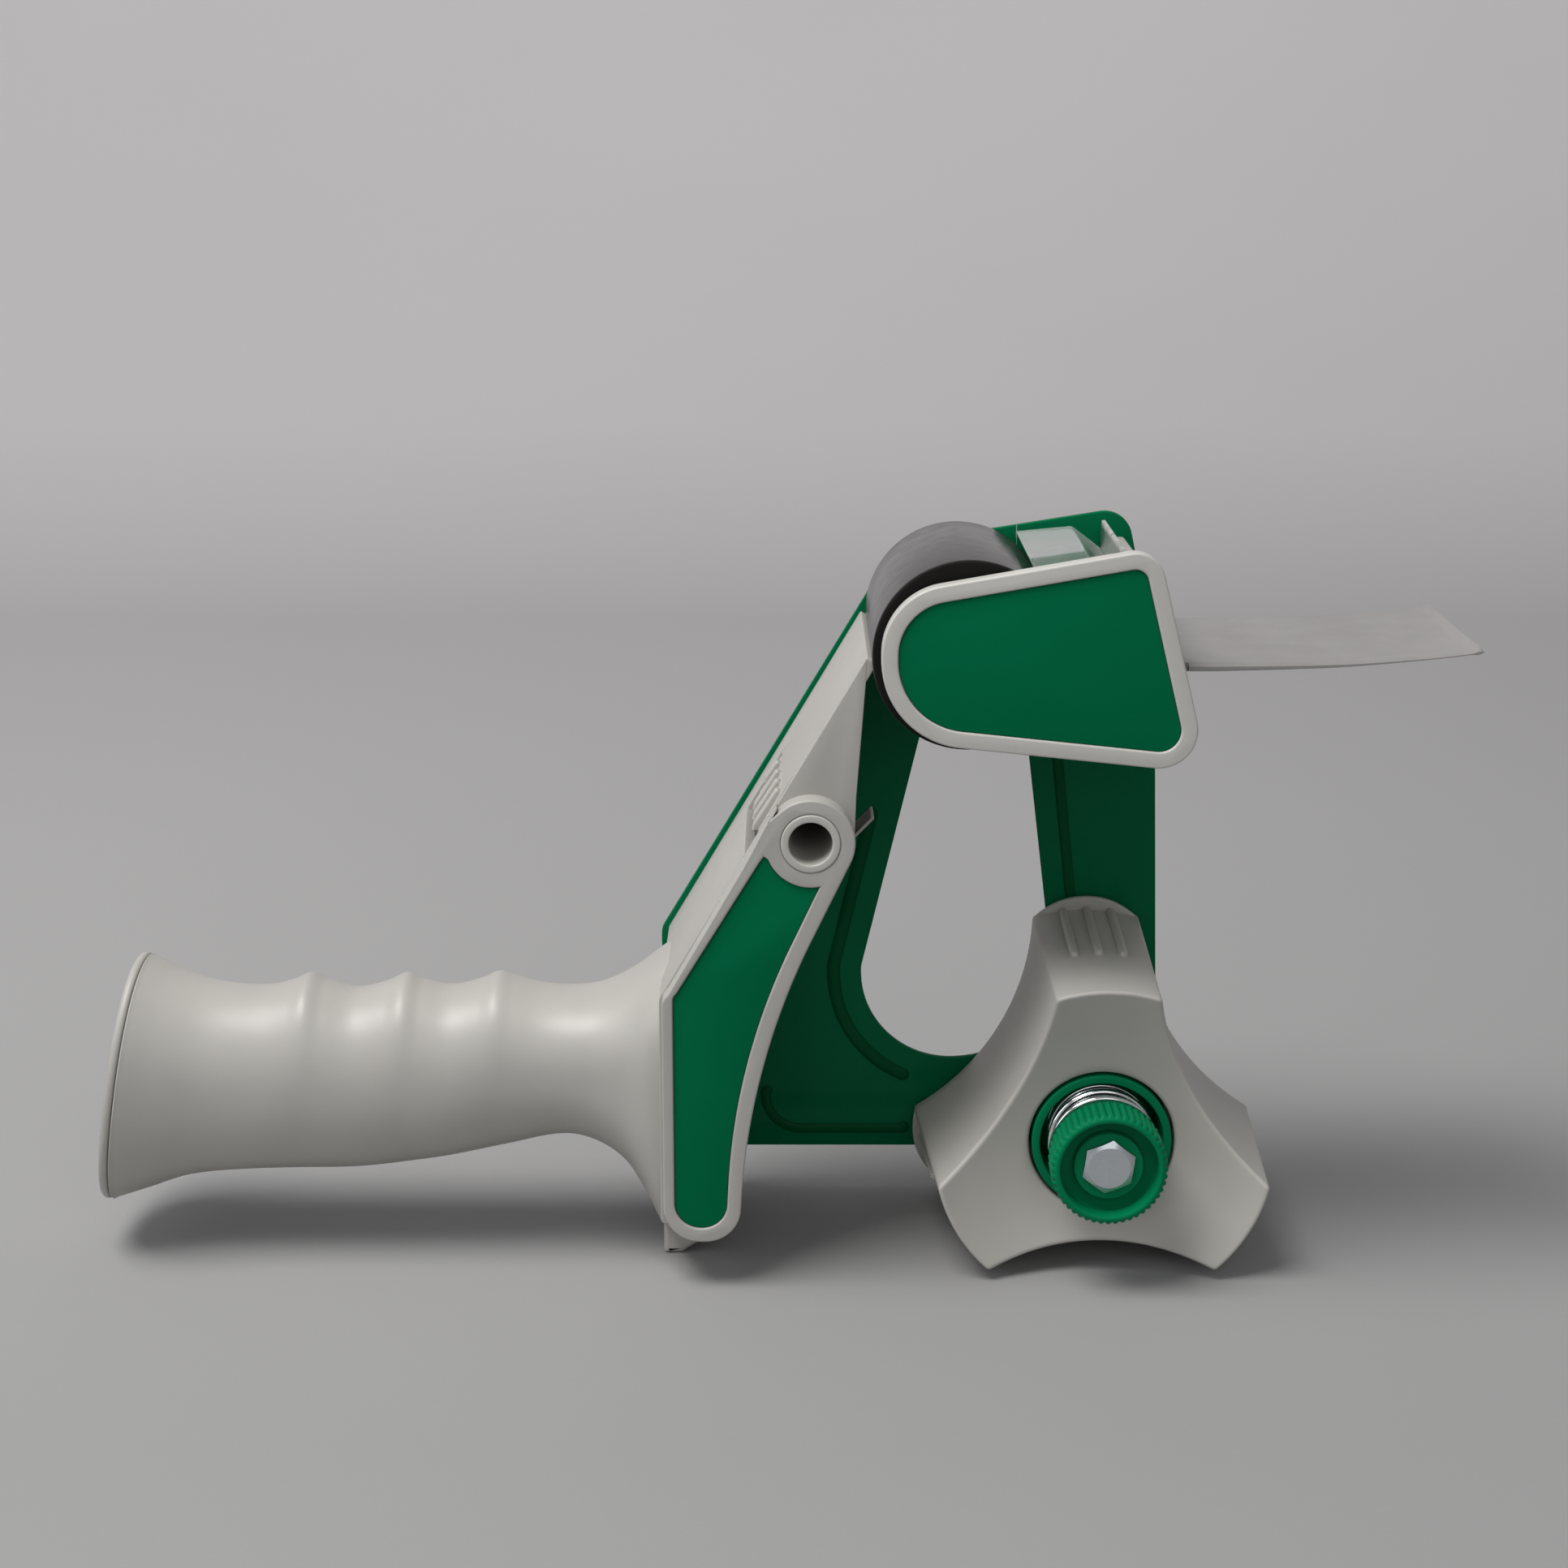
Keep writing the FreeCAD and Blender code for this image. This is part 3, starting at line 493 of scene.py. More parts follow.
def grip_ring(x, inset=0.0, push=0.0, n=128):
    """One section of the grip, drawn in by inset and pushed back along its axis."""
    half = smooth(HALF, x) - inset
    mid = 1.6 * max(0.0, (x + 110.0) / 24.0)
    power = smooth(SQUARE, x)
    t = Vector((x, mid, smooth(TOP, x)))
    b = Vector((x - lean(x), mid, smooth(LOW, x)))
    c = (t + b) * 0.5
    up = t - b
    rise = up.length / 2 - inset
    up.normalize()
    back = Vector((-up.z, 0, up.x))
    pts = []
    for k in range(n):
        a = 2 * math.pi * (k + 0.5) / n
        ca, sa = math.cos(a), math.sin(a)
        yy = math.copysign(abs(ca) ** (2 / power), ca) * half
        zz = math.copysign(abs(sa) ** (2 / power), sa) * rise
        v = c + up * zz + Vector((0, yy, 0)) + back * push
        pts.append(((v.x + HUB_X) * MM, v.y * MM, v.z * MM))
    return pts


def skin(rings, cap0=True, cap1=True):
    """Mesh through a row of equal rings."""
    bm = bmesh.new()
    vs = [[bm.verts.new(q) for q in ring] for ring in rings]
    n = len(vs[0])
    for a, b in zip(vs, vs[1:]):
        for k in range(n):
            bm.faces.new((a[k], a[(k + 1) % n], b[(k + 1) % n], b[k]))
    if cap0:
        bm.faces.new(vs[0])
    if cap1:
        bm.faces.new(vs[-1])
    bmesh.ops.recalc_face_normals(bm, faces=bm.faces)
    me = bpy.data.meshes.new("skin")
    bm.to_mesh(me)
    bm.free()
    return me


xs = [END + (-86.0 - END) * k / 190 for k in range(191)]
rings = [grip_ring(END, 0.7, 0.0), grip_ring(END, 0.25, -0.12), grip_ring(END, 0.05, -0.4)]
rings += [grip_ring(x) for x in xs[1:]]
grip_me = skin(rings)
CAP = [(0.9, 0.05), (0.35, 0.15), (0.05, 0.45), (0.0, 1.0), (0.12, 1.45), (0.45, 1.85), (1.0, 2.08),
       (2.0, 2.1), (3.4, 2.0), (4.0, 1.7), (9.0, 1.6), (15.0, 1.6)]
cap_rings = [grip_ring(END, inset, push) for inset, push in CAP]
add("end_cap", skin(cap_rings), GREY, "frame", ["grip_end_cap"], 50)

# ------------------------------------------------------------------ arm, boot and toe
wall = [(TIP_X, TIP_Z), (-92.0, face_z(-92.0), 3), (-92.0, 12.0, 4), (-76.4, 12.0, 5), (-73.2, 49.2, 150),
        (-52.0, 95.0), (-51.7, 104.0), (-49.6, 131.8)]
wall_ring = rounded(wall)
drop = 2.6 / math.cos(SLOPE)
bore = circle(BOSS_X, BOSS_Z, 6.02, 72)
wall_ring = offset(wall_ring, 0.12)
arm = [slab_mesh(wall_ring, [bore], -23.0, -20.5, 0.2), slab_mesh(wall_ring, [bore], 24.0, ARM_FAR, 0.2)]
back = rounded([(-91.95, 12.2, 1), (-91.95, face_z(-91.95), 1.2), (-89.4, face_z(-89.4) - drop, 0.5),
                (-89.4, 14.6, 0.5), (-77.0, 14.6, 0.5), (-77.0, 12.0, 0.5)])
arm.append(slab_mesh(back, [], -22.9, 26.4, 0.2))
e_dir = Vector((math.cos(SLOPE), 0, math.sin(SLOPE)))
n_dir = Vector((-math.sin(SLOPE), 0, math.cos(SLOPE)))
slope_m = Matrix.Translation((WIN_X + HUB_X, 0, WIN_Z)) @ Matrix((
    (e_dir.x, 0, n_dir.x, 0), (0, 1, 0, 0), (e_dir.z, 0, n_dir.z, 0), (0, 0, 0, 1)))
s_tip = (TIP_X - WIN_X) / math.cos(SLOPE)
s_low = (-92.0 - WIN_X) / math.cos(SLOPE)
face_ring = rounded([(s_low + 0.3, -22.95, 0.5), (s_tip, -22.95, 0.6), (s_tip, 26.3, 0.6),
                     (s_low + 0.3, 26.3, 0.5)])
win_ring = rounded([(0, -20.4, 0.4), (14.8, -20.4, 0.4), (14.8, 17.0, 0.4), (0, 17.0, 0.4)])
arm.append(slab_mesh(face_ring, [win_ring], -2.6, 0.0, 0.3, 3, slope_m))
toe = rounded([(-92.0, 0.0, 0.5), (-88.2, 0.0, 0.8), (-79.0, 6.0, 2), (-76.4, 16.0), (-92.0, 16.0)])
arm.append(slab_mesh(toe, [], -10.0, 20.0, 1.1, 5))
post = turned([(1.65, 12.0, 0.2), (4.2, 12.0, 0.4), (4.2, 25.0), (1.65, 25.0)])
for bx, bz in ((-83.0, 20.0), (-83.0, 54.0), (-57.2, 111.5)):
    arm.append(lathe_mesh(post, bx, bz, 32))
arm.append(grip_me)
arc = boss_arc([(a, 9.0) for a in range(-25, 131, 5)] + [(135, 9.03), (140, 9.12), (145, 9.28)])
boot_ring = rounded([(-91.2, face_z(-91.2), 3), (-91.2, 10.2, 7.6), (-75.6, 10.2, 7.4), (-73.2, 49.2, 150),
                     (arc[0].x, arc[0].y, 0.0)])[:-1] + arc + [Vector(along(13.2, 0))]
inlay = [(-88.9, face_z(-88.9) - 3.4, 2), (-88.9, 13.2, 5.4), (-78.3, 13.2, 5.2), (-76.3, 49.8, 140)]
under = boss_arc([(a, 9.15) for a in (282, 276, 270, 262, 254, 246, 238, 230, 222, 214, 206, 201)])
inlay_ring = rounded(inlay + [(under[0].x, under[0].y, 0.0)])[:-1] + under
inlay_ring += [Vector((-70.4, 92.9)), Vector((-71.3, 91.6))]
arm.append(slab_mesh(offset(boot_ring, 0.02), [inlay_ring, bore], -28.0, -21.4, 0.4, 4))
arm.append(slab_mesh(offset(boot_ring, 0.5), [bore], -26.75, -22.5, 0.1))
add("handle_shell", join(arm), GREY, "frame", ["arm_body", "grip"], 38)
add("boot_panel", slab_mesh(offset(inlay_ring, 0.12), [], -27.5, -26.7, 0.16), INLAY,
    "frame", ["handle_inlay"])
bush = turned([(6.0, -28.2, 0.35), (4.4, -28.2, 0.35), (4.4, 25.0, 0.2), (0.01, 25.0), (0.01, 26.4),
               (5.4, 26.4), (5.4, -20.5), (6.0, -20.5)])
add("pivot_bush", lathe_mesh(bush, BOSS_X, BOSS_Z, 96), TUBE, "frame", ["pivot_tube"], 40)

# ------------------------------------------------------------------ brake lever
barrel = turned([(5.45, PAD_Y0, 0.2), (7.4, PAD_Y0, 0.4), (7.4, PAD_Y1, 0.4), (5.45, PAD_Y1, 0.2)])
lev = [lathe_mesh(barrel, BOSS_X, BOSS_Z, 72)]
pad = [along(4.4, -2.4) + (0.2,), along(4.4, -0.5) + (0.7,), along(14.3, -0.4) + (0.4,),
       along(14.3, -2.4) + (0.2,)]
lev.append(slab_mesh(rounded(pad), [], PAD_Y0, PAD_Y1, 0.4, 4))
for rib_y, rib_s in ((-13.4, 3.8), (-5.4, 3.8), (2.6, 3.8), (10.6, 8.2)):
    rib = [along(rib_s, -1.0) + (0.2,), along(rib_s, 0.5) + (0.5,), along(rib_s + 1.6, 1.0) + (1.5,),
           along(14.0, 0.7) + (0.6,), along(14.0, -1.0) + (0.2,)]
    lev.append(slab_mesh(rounded(rib), [], rib_y - 1.2, rib_y + 1.2, 0.55, 4))
STRIP = math.radians(46)
foot = (BOSS_X + 9.7 * math.sin(STRIP), BOSS_Z - 9.7 * math.cos(STRIP))


def strip_pt(s, out):
    """Point s along the toothed strip's seat, and out from it."""
    cs, sn = math.cos(STRIP), math.sin(STRIP)
    return (foot[0] + s * cs + out * sn, foot[1] + s * sn - out * cs)


seat = rounded([(BOSS_X, BOSS_Z - 5.8), strip_pt(-4.5, 0) + (0.4,), strip_pt(2.5, 0) + (0.4,),
                (BOSS_X + 6.2, BOSS_Z)])
lev.append(slab_mesh(seat, [], -6.0, 6.0, 0.4))
add("finger_lever", join(lev), GREY, "brake", ["brake_lever"])

# ------------------------------------------------------------------ head cover
cover = [(6.5, 155.5, 6), (17.7, 110.5, 7.6), (-47.2, 117.3, 17.5), (-47.2, 146.1, 14)]
cover_ring = rounded(cover, 4.0)
recess = offset(cover_ring, 3.3)
head = [slab_mesh(cover_ring, [recess], -30.0, -26.0, 0.42, 4)]
head.append(slab_mesh(offset(cover_ring, 2.8), [], -28.75, -26.05, 0.1))
collar = turned([(3.05, -26.2), (6.5, -26.2), (6.5, -25.5, 0.2), (3.05, -25.5, 0.2)])
head.append(lathe_mesh(collar, ROLL_X, ROLL_Z, 48))
add("head_shell", join(head), HEADG, "frame", ["head_cover"])
add("head_panel", slab_mesh(offset(cover_ring, 3.42), [], -29.5, -28.7, 0.16), INLAY,
    "frame", ["head_inlay"])

# ------------------------------------------------------------------ bridge, guide
bridge = rounded([(1.95, 148.8, 0.8), (6.3, 148.8, 1), (10.6, 131.0), (12.4, 123.0, 3), (10.4, 116.6, 3),
                  (-5.0, 117.6, 1), (-5.0, 120.2, 1), (4.6, 120.4, 2), (1.95, 134.0, 2)])
add("bridge_shell", slab_mesh(bridge, [], -25.95, ARM_FAR, 0.3), GREY,
    "frame", ["head_bridge"])
leaf = rounded([(0.6, 137.0), (1.08, 137.0), (1.08, 146.4, 0.8), (-5.2, 151.2, 0.9), (-16.9, 150.1),
                (-16.9, 149.62), (-5.5, 150.65, 0.5), (0.6, 146.0, 0.4)])
add("guide_leaf", slab_mesh(leaf, [], -20.0, TAPE_HALF, 0.12, 2), CLEAR,
    "frame", ["tape_guide"])

# ------------------------------------------------------------------ wiper
heel = rounded([(11.9, 127.0), (13.5, 127.3, 0.4), (12.9, 130.0), (13.9, 130.0), (13.9, 131.8),
                (12.5, 132.0, 0.3), (11.6, 134.9, 0.4), (10.0, 134.6)])
add("wiper_heel", slab_mesh(heel, [], -24.0, TAPE_HALF, 0.15), FLAP,
    "frame", ["wiper_root"])


def flap_mesh():
    """The flap as a thin sagging sheet, thicker at its root, with a bead along its tip."""
    root_x, end_x, width = 13.7, 71.9, 50.0
    lowc = [(13.5, 129.95), (20.0, 130.0), (43.4, 130.75), (59.0, 132.05), (70.0, 133.35), (72.2, 133.7)]
    bm = bmesh.new()
    nx, ny = 90, 40
    grid = {}
    for i in range(nx + 1):
        x = root_x + (end_x - root_x) * i / nx
        zb = smooth(lowc, x)
        t = 1.85 - 1.15 * min(1.0, (x - root_x) / 50.0)
        tip = math.exp(-((x - 71.0) / 0.95) ** 2)
        bead_lo, bead_hi = 0.25 * tip, 0.75 * tip
        end = 1.0
        if x > 71.2:
            end = math.sqrt(max(0.0, 1 - ((x - 71.2) / 0.72) ** 2))
        zc = zb + t / 2
        for j in range(ny + 1):
            v = j / ny
            y = width * v - TAPE_HALF
            edge = min(1.0, min(v, 1 - v) * width / 0.35)
            k = end * (0.35 + 0.65 * math.sqrt(1 - (1 - edge) ** 2))
            sag = 0.25 * math.sin(math.pi * v) * ((x - root_x) / 58.0) ** 2
            top, bottom = zc - sag + (t / 2 + bead_hi) * k, zc - sag - (t / 2 + bead_lo) * k
            grid[i, j, 1] = bm.verts.new(((x + HUB_X) * MM, y * MM, top * MM))
            grid[i, j, 0] = bm.verts.new(((x + HUB_X) * MM, y * MM, bottom * MM))
    for s in (0, 1):
        for i in range(nx):
            for j in range(ny):
                bm.faces.new((grid[i, j, s], grid[i + 1, j, s], grid[i + 1, j + 1, s], grid[i, j + 1, s]))
    for i in range(nx):
        for j in (0, ny):
            bm.faces.new((grid[i, j, 0], grid[i + 1, j, 0], grid[i + 1, j, 1], grid[i, j, 1]))
    for j in range(ny):
        for i in (0, nx):
            bm.faces.new((grid[i, j, 0], grid[i, j + 1, 0], grid[i, j + 1, 1], grid[i, j, 1]))
    bmesh.ops.remove_doubles(bm, verts=bm.verts, dist=2e-6)
    bmesh.ops.recalc_face_normals(bm, faces=bm.faces)
    me = bpy.data.meshes.new("flap")
    bm.to_mesh(me)
    bm.free()
    return me


add("flap_sheet", flap_mesh(), FLAP, "flap", ["wiper_flap"], 50)

# ------------------------------------------------------------------ roller
sleeve = turned([(14.0, -TAPE_HALF, 0.3), (ROLL_R, -TAPE_HALF, 0.7), (ROLL_R, TAPE_HALF, 0.7),
                 (14.0, TAPE_HALF, 0.3)])
tyre = add("tyre_sleeve", lathe_mesh(sleeve, ROLL_X, ROLL_Z, 160), RUBBER,
           "roller", ["roller_tyre"], 40)
core_p = turned([(3.05, -24.8, 0.2), (5.2, -24.8, 0.3), (5.2, -23.6, 0.3), (11.6, -23.6, 0.3),
                 (11.6, -24.4, 0.2), (14.0, -24.4), (14.0, 24.4), (11.6, 24.4, 0.2), (11.6, 23.6, 0.3),
                 (5.2, 23.6, 0.3), (5.2, 24.8, 0.3), (3.05, 24.8, 0.2)])
# The faces turned along the axis (the roller's ends) take the darker rubber copy: painted shade.
tyre.data.materials.append(END_RUBBER_SHADE)
for poly in tyre.data.polygons:
    if abs(poly.normal.y) > 0.5:
        poly.material_index = 1
add("core_drum", lathe_mesh(core_p, ROLL_X, ROLL_Z, 96), BLACK,
    "roller", ["roller_core"], 40)

# ------------------------------------------------------------------ tape hub
R_NEAR, R_FAR, HUB_END, WAIST, DISH = 35.2, 38.25, 25.4, 21.7, 9.0
BALL = (R_NEAR ** 2 + DISH ** 2) / (2 * DISH)
LOBE = math.radians(17.8)


def hub_outline(r, n=720):
    """Three lobes of radius r joined by hollow flanks that come in to WAIST."""
    pts = []
    for k in range(3):
        mid = math.radians(90 + 120 * k)
        for j in range(60):
            a = mid - LOBE + 2 * LOBE * j / 60
            pts.append(Vector((r * math.cos(a), r * math.sin(a))))
        a0, a1 = mid + LOBE, mid + math.radians(120) - LOBE
        p0 = Vector((r * math.cos(a0), r * math.sin(a0)))
        p1 = Vector((r * math.cos(a1), r * math.sin(a1)))
        am = mid + math.radians(60)
        u = Vector((math.cos(am), math.sin(am)))
        sag = ((p0 + p1) / 2).dot(u) - WAIST
        half = (p1 - p0).length / 2
        big = (half ** 2 + sag ** 2) / (2 * sag)
        c = u * (WAIST + big)
        b0 = math.atan2(p0.y - c.y, p0.x - c.x)
        b1 = math.atan2(p1.y - c.y, p1.x - c.x)
        d = (b1 - b0 + math.pi) % (2 * math.pi) - math.pi
        for j in range(180):
            b = b0 + d * j / 180
            pts.append(Vector((c.x + big * math.cos(b), c.y + big * math.sin(b))))
    # even spacing, then soften the corners
    total = [0.0]
    m = len(pts)
    for i in range(m):
        total.append(total[-1] + (pts[(i + 1) % m] - pts[i]).length)
    out = []
    i = 0
    for k in range(n):
        s = total[-1] * k / n
        while total[i + 1] < s:
            i += 1
        t = (s - total[i]) / max(total[i + 1] - total[i], 1e-9)
        out.append(pts[i].lerp(pts[(i + 1) % m], t))
    for _ in range(7):
        out = [(out[i - 1] + out[i] * 2 + out[(i + 1) % n]) / 4 for i in range(n)]
    return out


def dish_y(r):
    """Y of the hub's hollow near face at radius r."""
    return -25.0 + DISH - BALL + math.sqrt(max(BALL ** 2 - r ** 2, 0.0))


def hub_mesh():
    """Hub skin: hollow back, lobed wall, softened rim, dished face and the bore for the cup."""
    n = 720
    near, far = hub_outline(R_NEAR, n), hub_outline(R_FAR, n)
    rings = []

    def ring(pts, ys):
        rings.append([((v.x + HUB_X) * MM, y * MM, (v.y + HUB_Z) * MM) for v, y in zip(pts, ys)])

    def at(y):
        t = (y + 25.0) / (HUB_END + 25.0)
        return [a.lerp(b, t) for a, b in zip(near, far)]

    inner = offset(at(HUB_END), 2.8)
    ring(offset(at(-6.0), 3.0), [-6.0] * n)
    ring(inner, [HUB_END - 0.4] * n)
    ring(offset(at(HUB_END), 2.4), [HUB_END] * n)
    ring(offset(at(HUB_END), 0.5), [HUB_END] * n)
    ring(offset(at(HUB_END), 0.15), [HUB_END - 0.15] * n)
    for y in (24.9, 22, 16, 10, 4, -2, -8, -12, -15):
        ring(at(y), [y] * n)
    rim_y = [dish_y(v.length) for v in near]
    rr = 0.9
    for f in (4.0, 2.6, 1.6, 1.0):
        ring([a.lerp(b, (yy + f * rr + 25.0) / (HUB_END + 25.0)) for a, b, yy in zip(near, far, rim_y)],
             [yy + f * rr for yy in rim_y])
    for a in (20, 40, 60, 80):
        ca, sa = math.cos(math.radians(a)), math.sin(math.radians(a))
        pts = offset(near, rr * (1 - ca))
        ring(pts, [dish_y(v.length) + rr * (1 - sa) for v in pts])
    start = offset(near, rr * 1.2)
    for k in range(0, 15):
        t = k / 14
        pts = [v.lerp(v.normalized() * 15.8, t) for v in start]
        ring(pts, [dish_y(v.length) for v in pts])
    dirs = [v.normalized() for v in start]
    for r, dy in ((15.45, 0.15), (15.25, 0.45), (15.2, 1.0)):
        ring([d * r for d in dirs], [dish_y(15.2) + dy] * n)
    ring([d * 15.2 for d in dirs], [-11.0] * n)
    ring([d * 14.66 for d in dirs], [-10.8] * n)
    ring([d * 14.66 for d in dirs], [2.0] * n)
    ring([d * 5.06 for d in dirs], [2.0] * n)
    ring([d * 5.06 for d in dirs], [25.3] * n)
    ring([d * 8.0 for d in dirs], [25.3] * n)
    ring([d * 8.0 for d in dirs], [5.0] * n)
    ring([d * 16.5 for d in dirs], [5.0] * n)
    ring([d * 18.0 for d in dirs], [-5.0] * n)
    me = skin(rings + [rings[0]], False, False)
    bm = bmesh.new()
    bm.from_mesh(me)
    bmesh.ops.remove_doubles(bm, verts=bm.verts, dist=1e-7)
    bmesh.ops.recalc_face_normals(bm, faces=bm.faces)
    bm.to_mesh(me)
    bm.free()
    return me


def lobe_top(x, y):
    """Height of the upper lobe's surface."""
    r = R_NEAR + (R_FAR - R_NEAR) * (y + 25) / (HUB_END + 25)
    return HUB_Z + math.sqrt(r * r - x * x)


hub = [hub_mesh()]
for k in range(3):
    turn = (Matrix.Translation((HUB_X * MM, 0, HUB_Z * MM)) @ Matrix.Rotation(math.radians(120 * k), 4, "Y")
            @ Matrix.Translation((-HUB_X * MM, 0, -HUB_Z * MM)))
    spots = [1 - j / 14 for j in range(29)]
    lip_line = [Vector((11.4 * t, 64.6 + 4.8 * (1 - abs(t) ** 2.2))) for t in spots]
    lip = slab_mesh(lip_line + [Vector((-11.0, 62.6)), Vector((11.0, 62.6))], [],
                    HUB_END - 1.7, HUB_END, 0.5, 4)
    parts = [lip]
    for rx in (-5.2, 0.0, 5.2):
        line = [(rx, y, lobe_top(rx, y) + 0.02) for y in (-3.2, 2, 8, 14, 20, 23)]
        parts.append(tube_mesh(line, 1.0, 1.0, 16))
    for me in parts:
        me.transform(turn)
        hub.append(me)
add("hub_shell", join(hub), HUBG, "hub", ["tape_hub"], 42)
cup_p = turned([(14.6, -18.0, 0.35), (12.9, -18.0, 0.3), (12.9, -0.4, 0.4), (3.2, -0.4), (3.2, 2.0),
                (14.6, 2.0, 0.3)])
add("cup_liner", lathe_mesh(cup_p, 0, HUB_Z, 96), KNOBG, "hub", ["hub_cup"], 40)


# ------------------------------------------------------------------ knob
RIDGES = 48


def knob_mesh():
    """Ridged cap with a round recess and a hexagon pocket for the bolt head."""
    front, back = -34.0, -25.2
    prof = [(3.05, back), (10.2, back), (11.0, back + 0.1), (11.35, back - 0.45), (11.4, back - 0.7),
            (11.4, back - 1.0), (11.4, front + 1.4), (11.4, front + 0.8), (11.35, front + 0.5),
            (11.15, front + 0.15), (10.9, front), (10.5, front), (10.2, front + 0.15), (10.08, front + 0.5),
            (10.05, front + 4.3),
            (9.8, front + 4.55), (7.6, front + 4.6), (7.25, front + 4.5), (7.2, front + 4.2),
            (7.15, front + 2.85), (7.0, front + 2.62), (6.8, front + 2.6), (5.85, front + 2.6),
            (5.8, front + 2.8), (5.8, front + 5.35), (3.05, front + 5.4)]
    n = RIDGES * 12
    rings = []
    for r, y in prof:
        ring = []
        for k in range(n):
            a = 2 * math.pi * k / n
            rr = r
            if r >= 11.3 and front + 0.7 <= y <= back - 0.6:
                rr = r + 0.55 * abs(math.cos(RIDGES * a / 2)) ** 0.9
            elif r >= 11.3:
                rr = r + 0.25 * abs(math.cos(RIDGES * a / 2))
            if 5.7 < r < 5.9:
                h = (a - math.radians(22)) % (math.pi / 3) - math.pi / 6
                rr = 5.03 / math.cos(h)
            ring.append(((rr * math.cos(a) + HUB_X) * MM, y * MM, (HUB_Z + rr * math.sin(a)) * MM))
        rings.append(ring)
    return skin(rings + [rings[0]], False, False)


add("knob_cap", knob_mesh(), KNOBG, "knob", ["tension_knob"], 40)

# ------------------------------------------------------------------ tension spring
# The coil bears on the washer and moves with it, CLEAR_GAP short of the cup floor at rest.
CLEAR_GAP = 2.1 * MM
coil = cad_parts["tension_spring"]
coil_me = coil.data.copy()
coil_me.transform(coil.matrix_world)
ys = [v.co.y for v in coil_me.vertices]
front_y, back_y = min(ys), max(ys)
shrink = 1 - CLEAR_GAP / (back_y - front_y)
for v in coil_me.vertices:
    v.co.y = front_y + (v.co.y - front_y) * shrink
add("coil_spring", coil_me, CHROME, "seat", ["tension_spring"], 50)

# ------------------------------------------------------------------ carried-over CAD nodes
KEEP = {"handle_screws": ZINC, "head_screws": ZINC, "cutting_blade": STEEL, "blade_screws": ZINC,
        "roller_axle": ZINC, "roller_nut": ZINC, "hub_sleeve": BLACK, "friction_washer": FIBRE,
        "hub_nut": ZINC, "brake_spring": ZINC,
        "tension_washer": CHROME, "hub_bolt": ZINC, "brake_strip": DARKSTEEL}
for name, mat in KEEP.items():
    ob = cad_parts[name]
    if not ob.material_slots:
        ob.data.materials.append(mat)
    for s in ob.material_slots:
        s.material = mat

# ------------------------------------------------------------------ studio
def stage_mesh():
    """Flat floor that curves up into a backdrop, in metres."""
    prof = [(-1.8 + 2.5 * k / 29, 0.0) for k in range(30)]
    for k in range(1, 40):
        a = math.radians(90 * k / 39)
        prof.append((0.7 + 2.2 * math.sin(a), 2.2 - 2.2 * math.cos(a)))
    prof.append((2.9, 5.0))
    bm = bmesh.new()
    rows = [[bm.verts.new((x, y, z)) for x in (-4.0, 0.0, 4.0)] for y, z in prof]
    for a, b in zip(rows, rows[1:]):
        for k in range(2):
            bm.faces.new((a[k], a[k + 1], b[k + 1], b[k]))
    me = bpy.data.meshes.new("sweep")
    bm.to_mesh(me)
    bm.free()
    for poly in me.polygons:
        poly.use_smooth = True
    return me


floor_mat, fnt, fbs = nodes_of("studio_paper")
place = fnt.nodes.new("ShaderNodeTexCoord")
split = fnt.nodes.new("ShaderNodeSeparateXYZ")
fnt.links.new(place.outputs["Object"], split.inputs[0])
depth = fnt.nodes.new("ShaderNodeMapRange")
depth.inputs["From Min"].default_value = -0.1
depth.inputs["From Max"].default_value = 2.6
fnt.links.new(split.outputs["Y"], depth.inputs["Value"])
# The paper's colour rises from the near floor to the backdrop to make up for the lamps' falloff: painted
# light on the sweep, not a tint of the paper.
painted_light_ramp = ramp(fnt, depth.outputs[0], [(0.0, (0.283, 0.283, 0.283)), (0.3, (0.43, 0.422, 0.424)),
                                    (0.45, (0.69, 0.672, 0.677)), (0.72, (0.95, 0.92, 0.93)),
                                    (1.0, (0.95, 0.92, 0.93))])
mottle = ramp(fnt, noise(fnt, 3.0, 4.0), [(0.3, 0.98), (0.7, 1.0)])
# Painted light ramp multiplied by a faint random mottle of the paper.
paper_mottle_and_painted_light = fnt.nodes.new("ShaderNodeMix")
paper_mottle_and_painted_light.data_type = "RGBA"
paper_mottle_and_painted_light.blend_type = "MULTIPLY"
paper_mottle_and_painted_light.inputs["Factor"].default_value = 1.0
fnt.links.new(painted_light_ramp, paper_mottle_and_painted_light.inputs["A"])
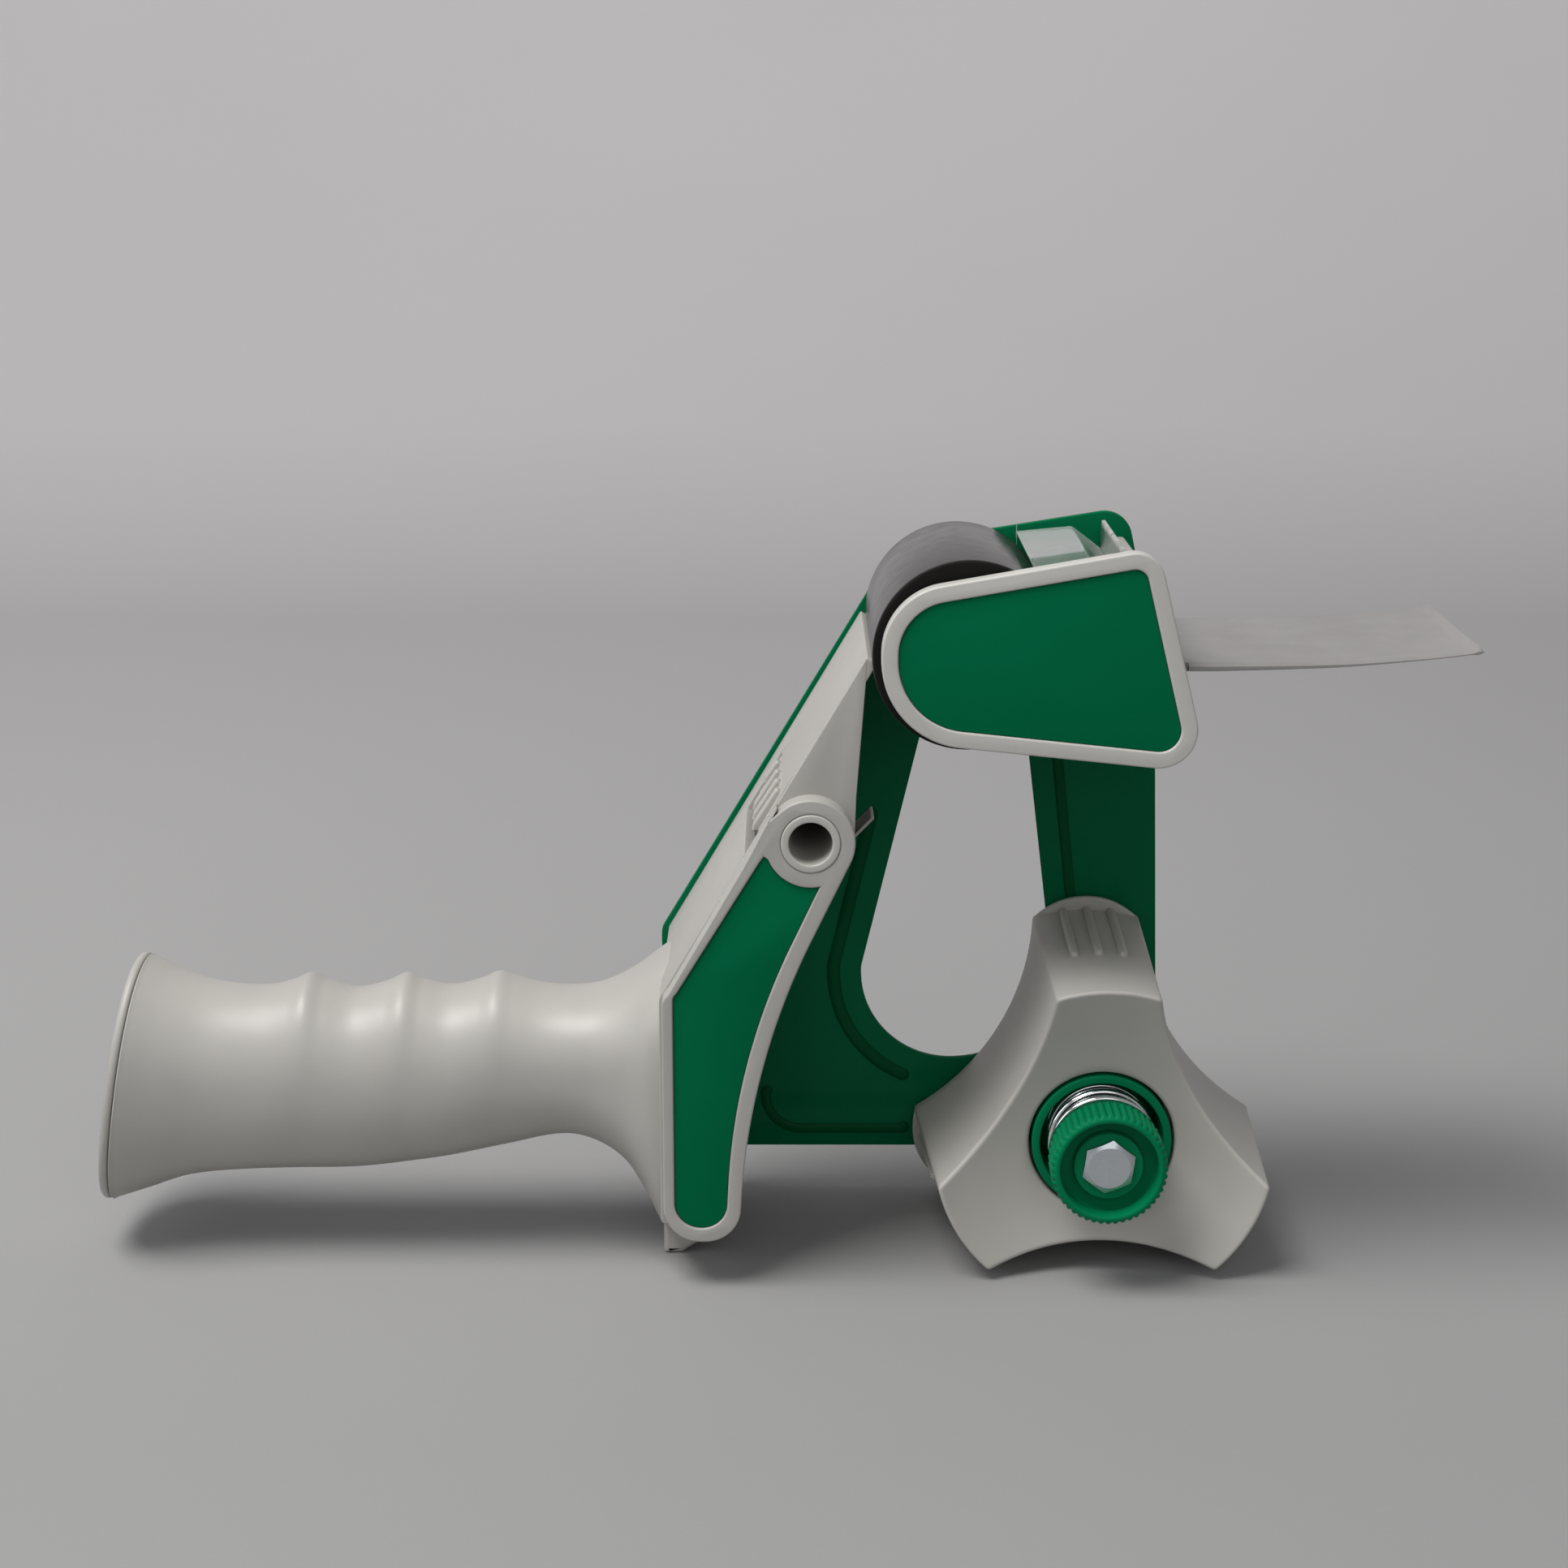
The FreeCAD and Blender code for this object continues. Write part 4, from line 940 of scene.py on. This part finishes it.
fnt.links.new(mottle, paper_mottle_and_painted_light.inputs["B"])
fnt.links.new(paper_mottle_and_painted_light.outputs["Result"], fbs.inputs["Base Color"])
fbs.inputs["Roughness"].default_value = 0.75
bump(fnt, fbs, noise(fnt, 700.0, 3.0), 0.12, 0.0003)
sweep = bpy.data.objects.new("studio_sweep", stage_mesh())
sweep.data.materials.append(floor_mat)
bpy.context.scene.collection.objects.link(sweep)


def area(name, loc, target, size, power, colour=(1, 1, 1)):
    """Soft lamp aimed at target; places and sizes in metres, power in watts."""
    li = bpy.data.lights.new(name, "AREA")
    li.shape = "RECTANGLE"
    li.size, li.size_y = size
    li.energy = power
    li.color = colour
    o = bpy.data.objects.new(name, li)
    o.location = loc
    d = Vector(target) - Vector(loc)
    o.rotation_euler = d.to_track_quat("-Z", "Y").to_euler()
    bpy.context.scene.collection.objects.link(o)


area("key_top", (-0.48, -0.30, 1.28), (0, 0.0, 0.05), (0.80, 0.60), 18.5, (1.0, 0.985, 0.97))
area("fill_left", (-1.5, -0.7, 0.85), (0, 0, 0.08), (1.0, 1.0), 5.0, (0.97, 0.98, 1.0))
area("fill_front", (0.2, -1.8, 1.0), (0, 0, 0.07), (1.4, 1.0), 4.0)
world = bpy.data.worlds.new("studio")
world.use_nodes = True
world.node_tree.nodes["Background"].inputs[0].default_value = (0.93, 0.94, 0.96, 1)
world.node_tree.nodes["Background"].inputs[1].default_value = 0.33
bpy.context.scene.world = world

cam = bpy.data.cameras.new("photo_view")
SENSOR = 36.0
FOCAL_PX, IMAGE_PX = 3515.64, 1932
CAMERA_TILT, CAMERA_TURN = 0.246251, 0.001257
cam.sensor_width = SENSOR
cam.lens = FOCAL_PX / IMAGE_PX * SENSOR
cam.clip_start = 0.01
co = bpy.data.objects.new("photo_view", cam)
co.location = (0.00437, -0.57735, 0.24608)
co.rotation_euler = (math.pi / 2 - CAMERA_TILT, 0, CAMERA_TURN)
bpy.context.scene.collection.objects.link(co)
bpy.context.scene.camera = co
bpy.context.scene.view_settings.view_transform = "Standard"
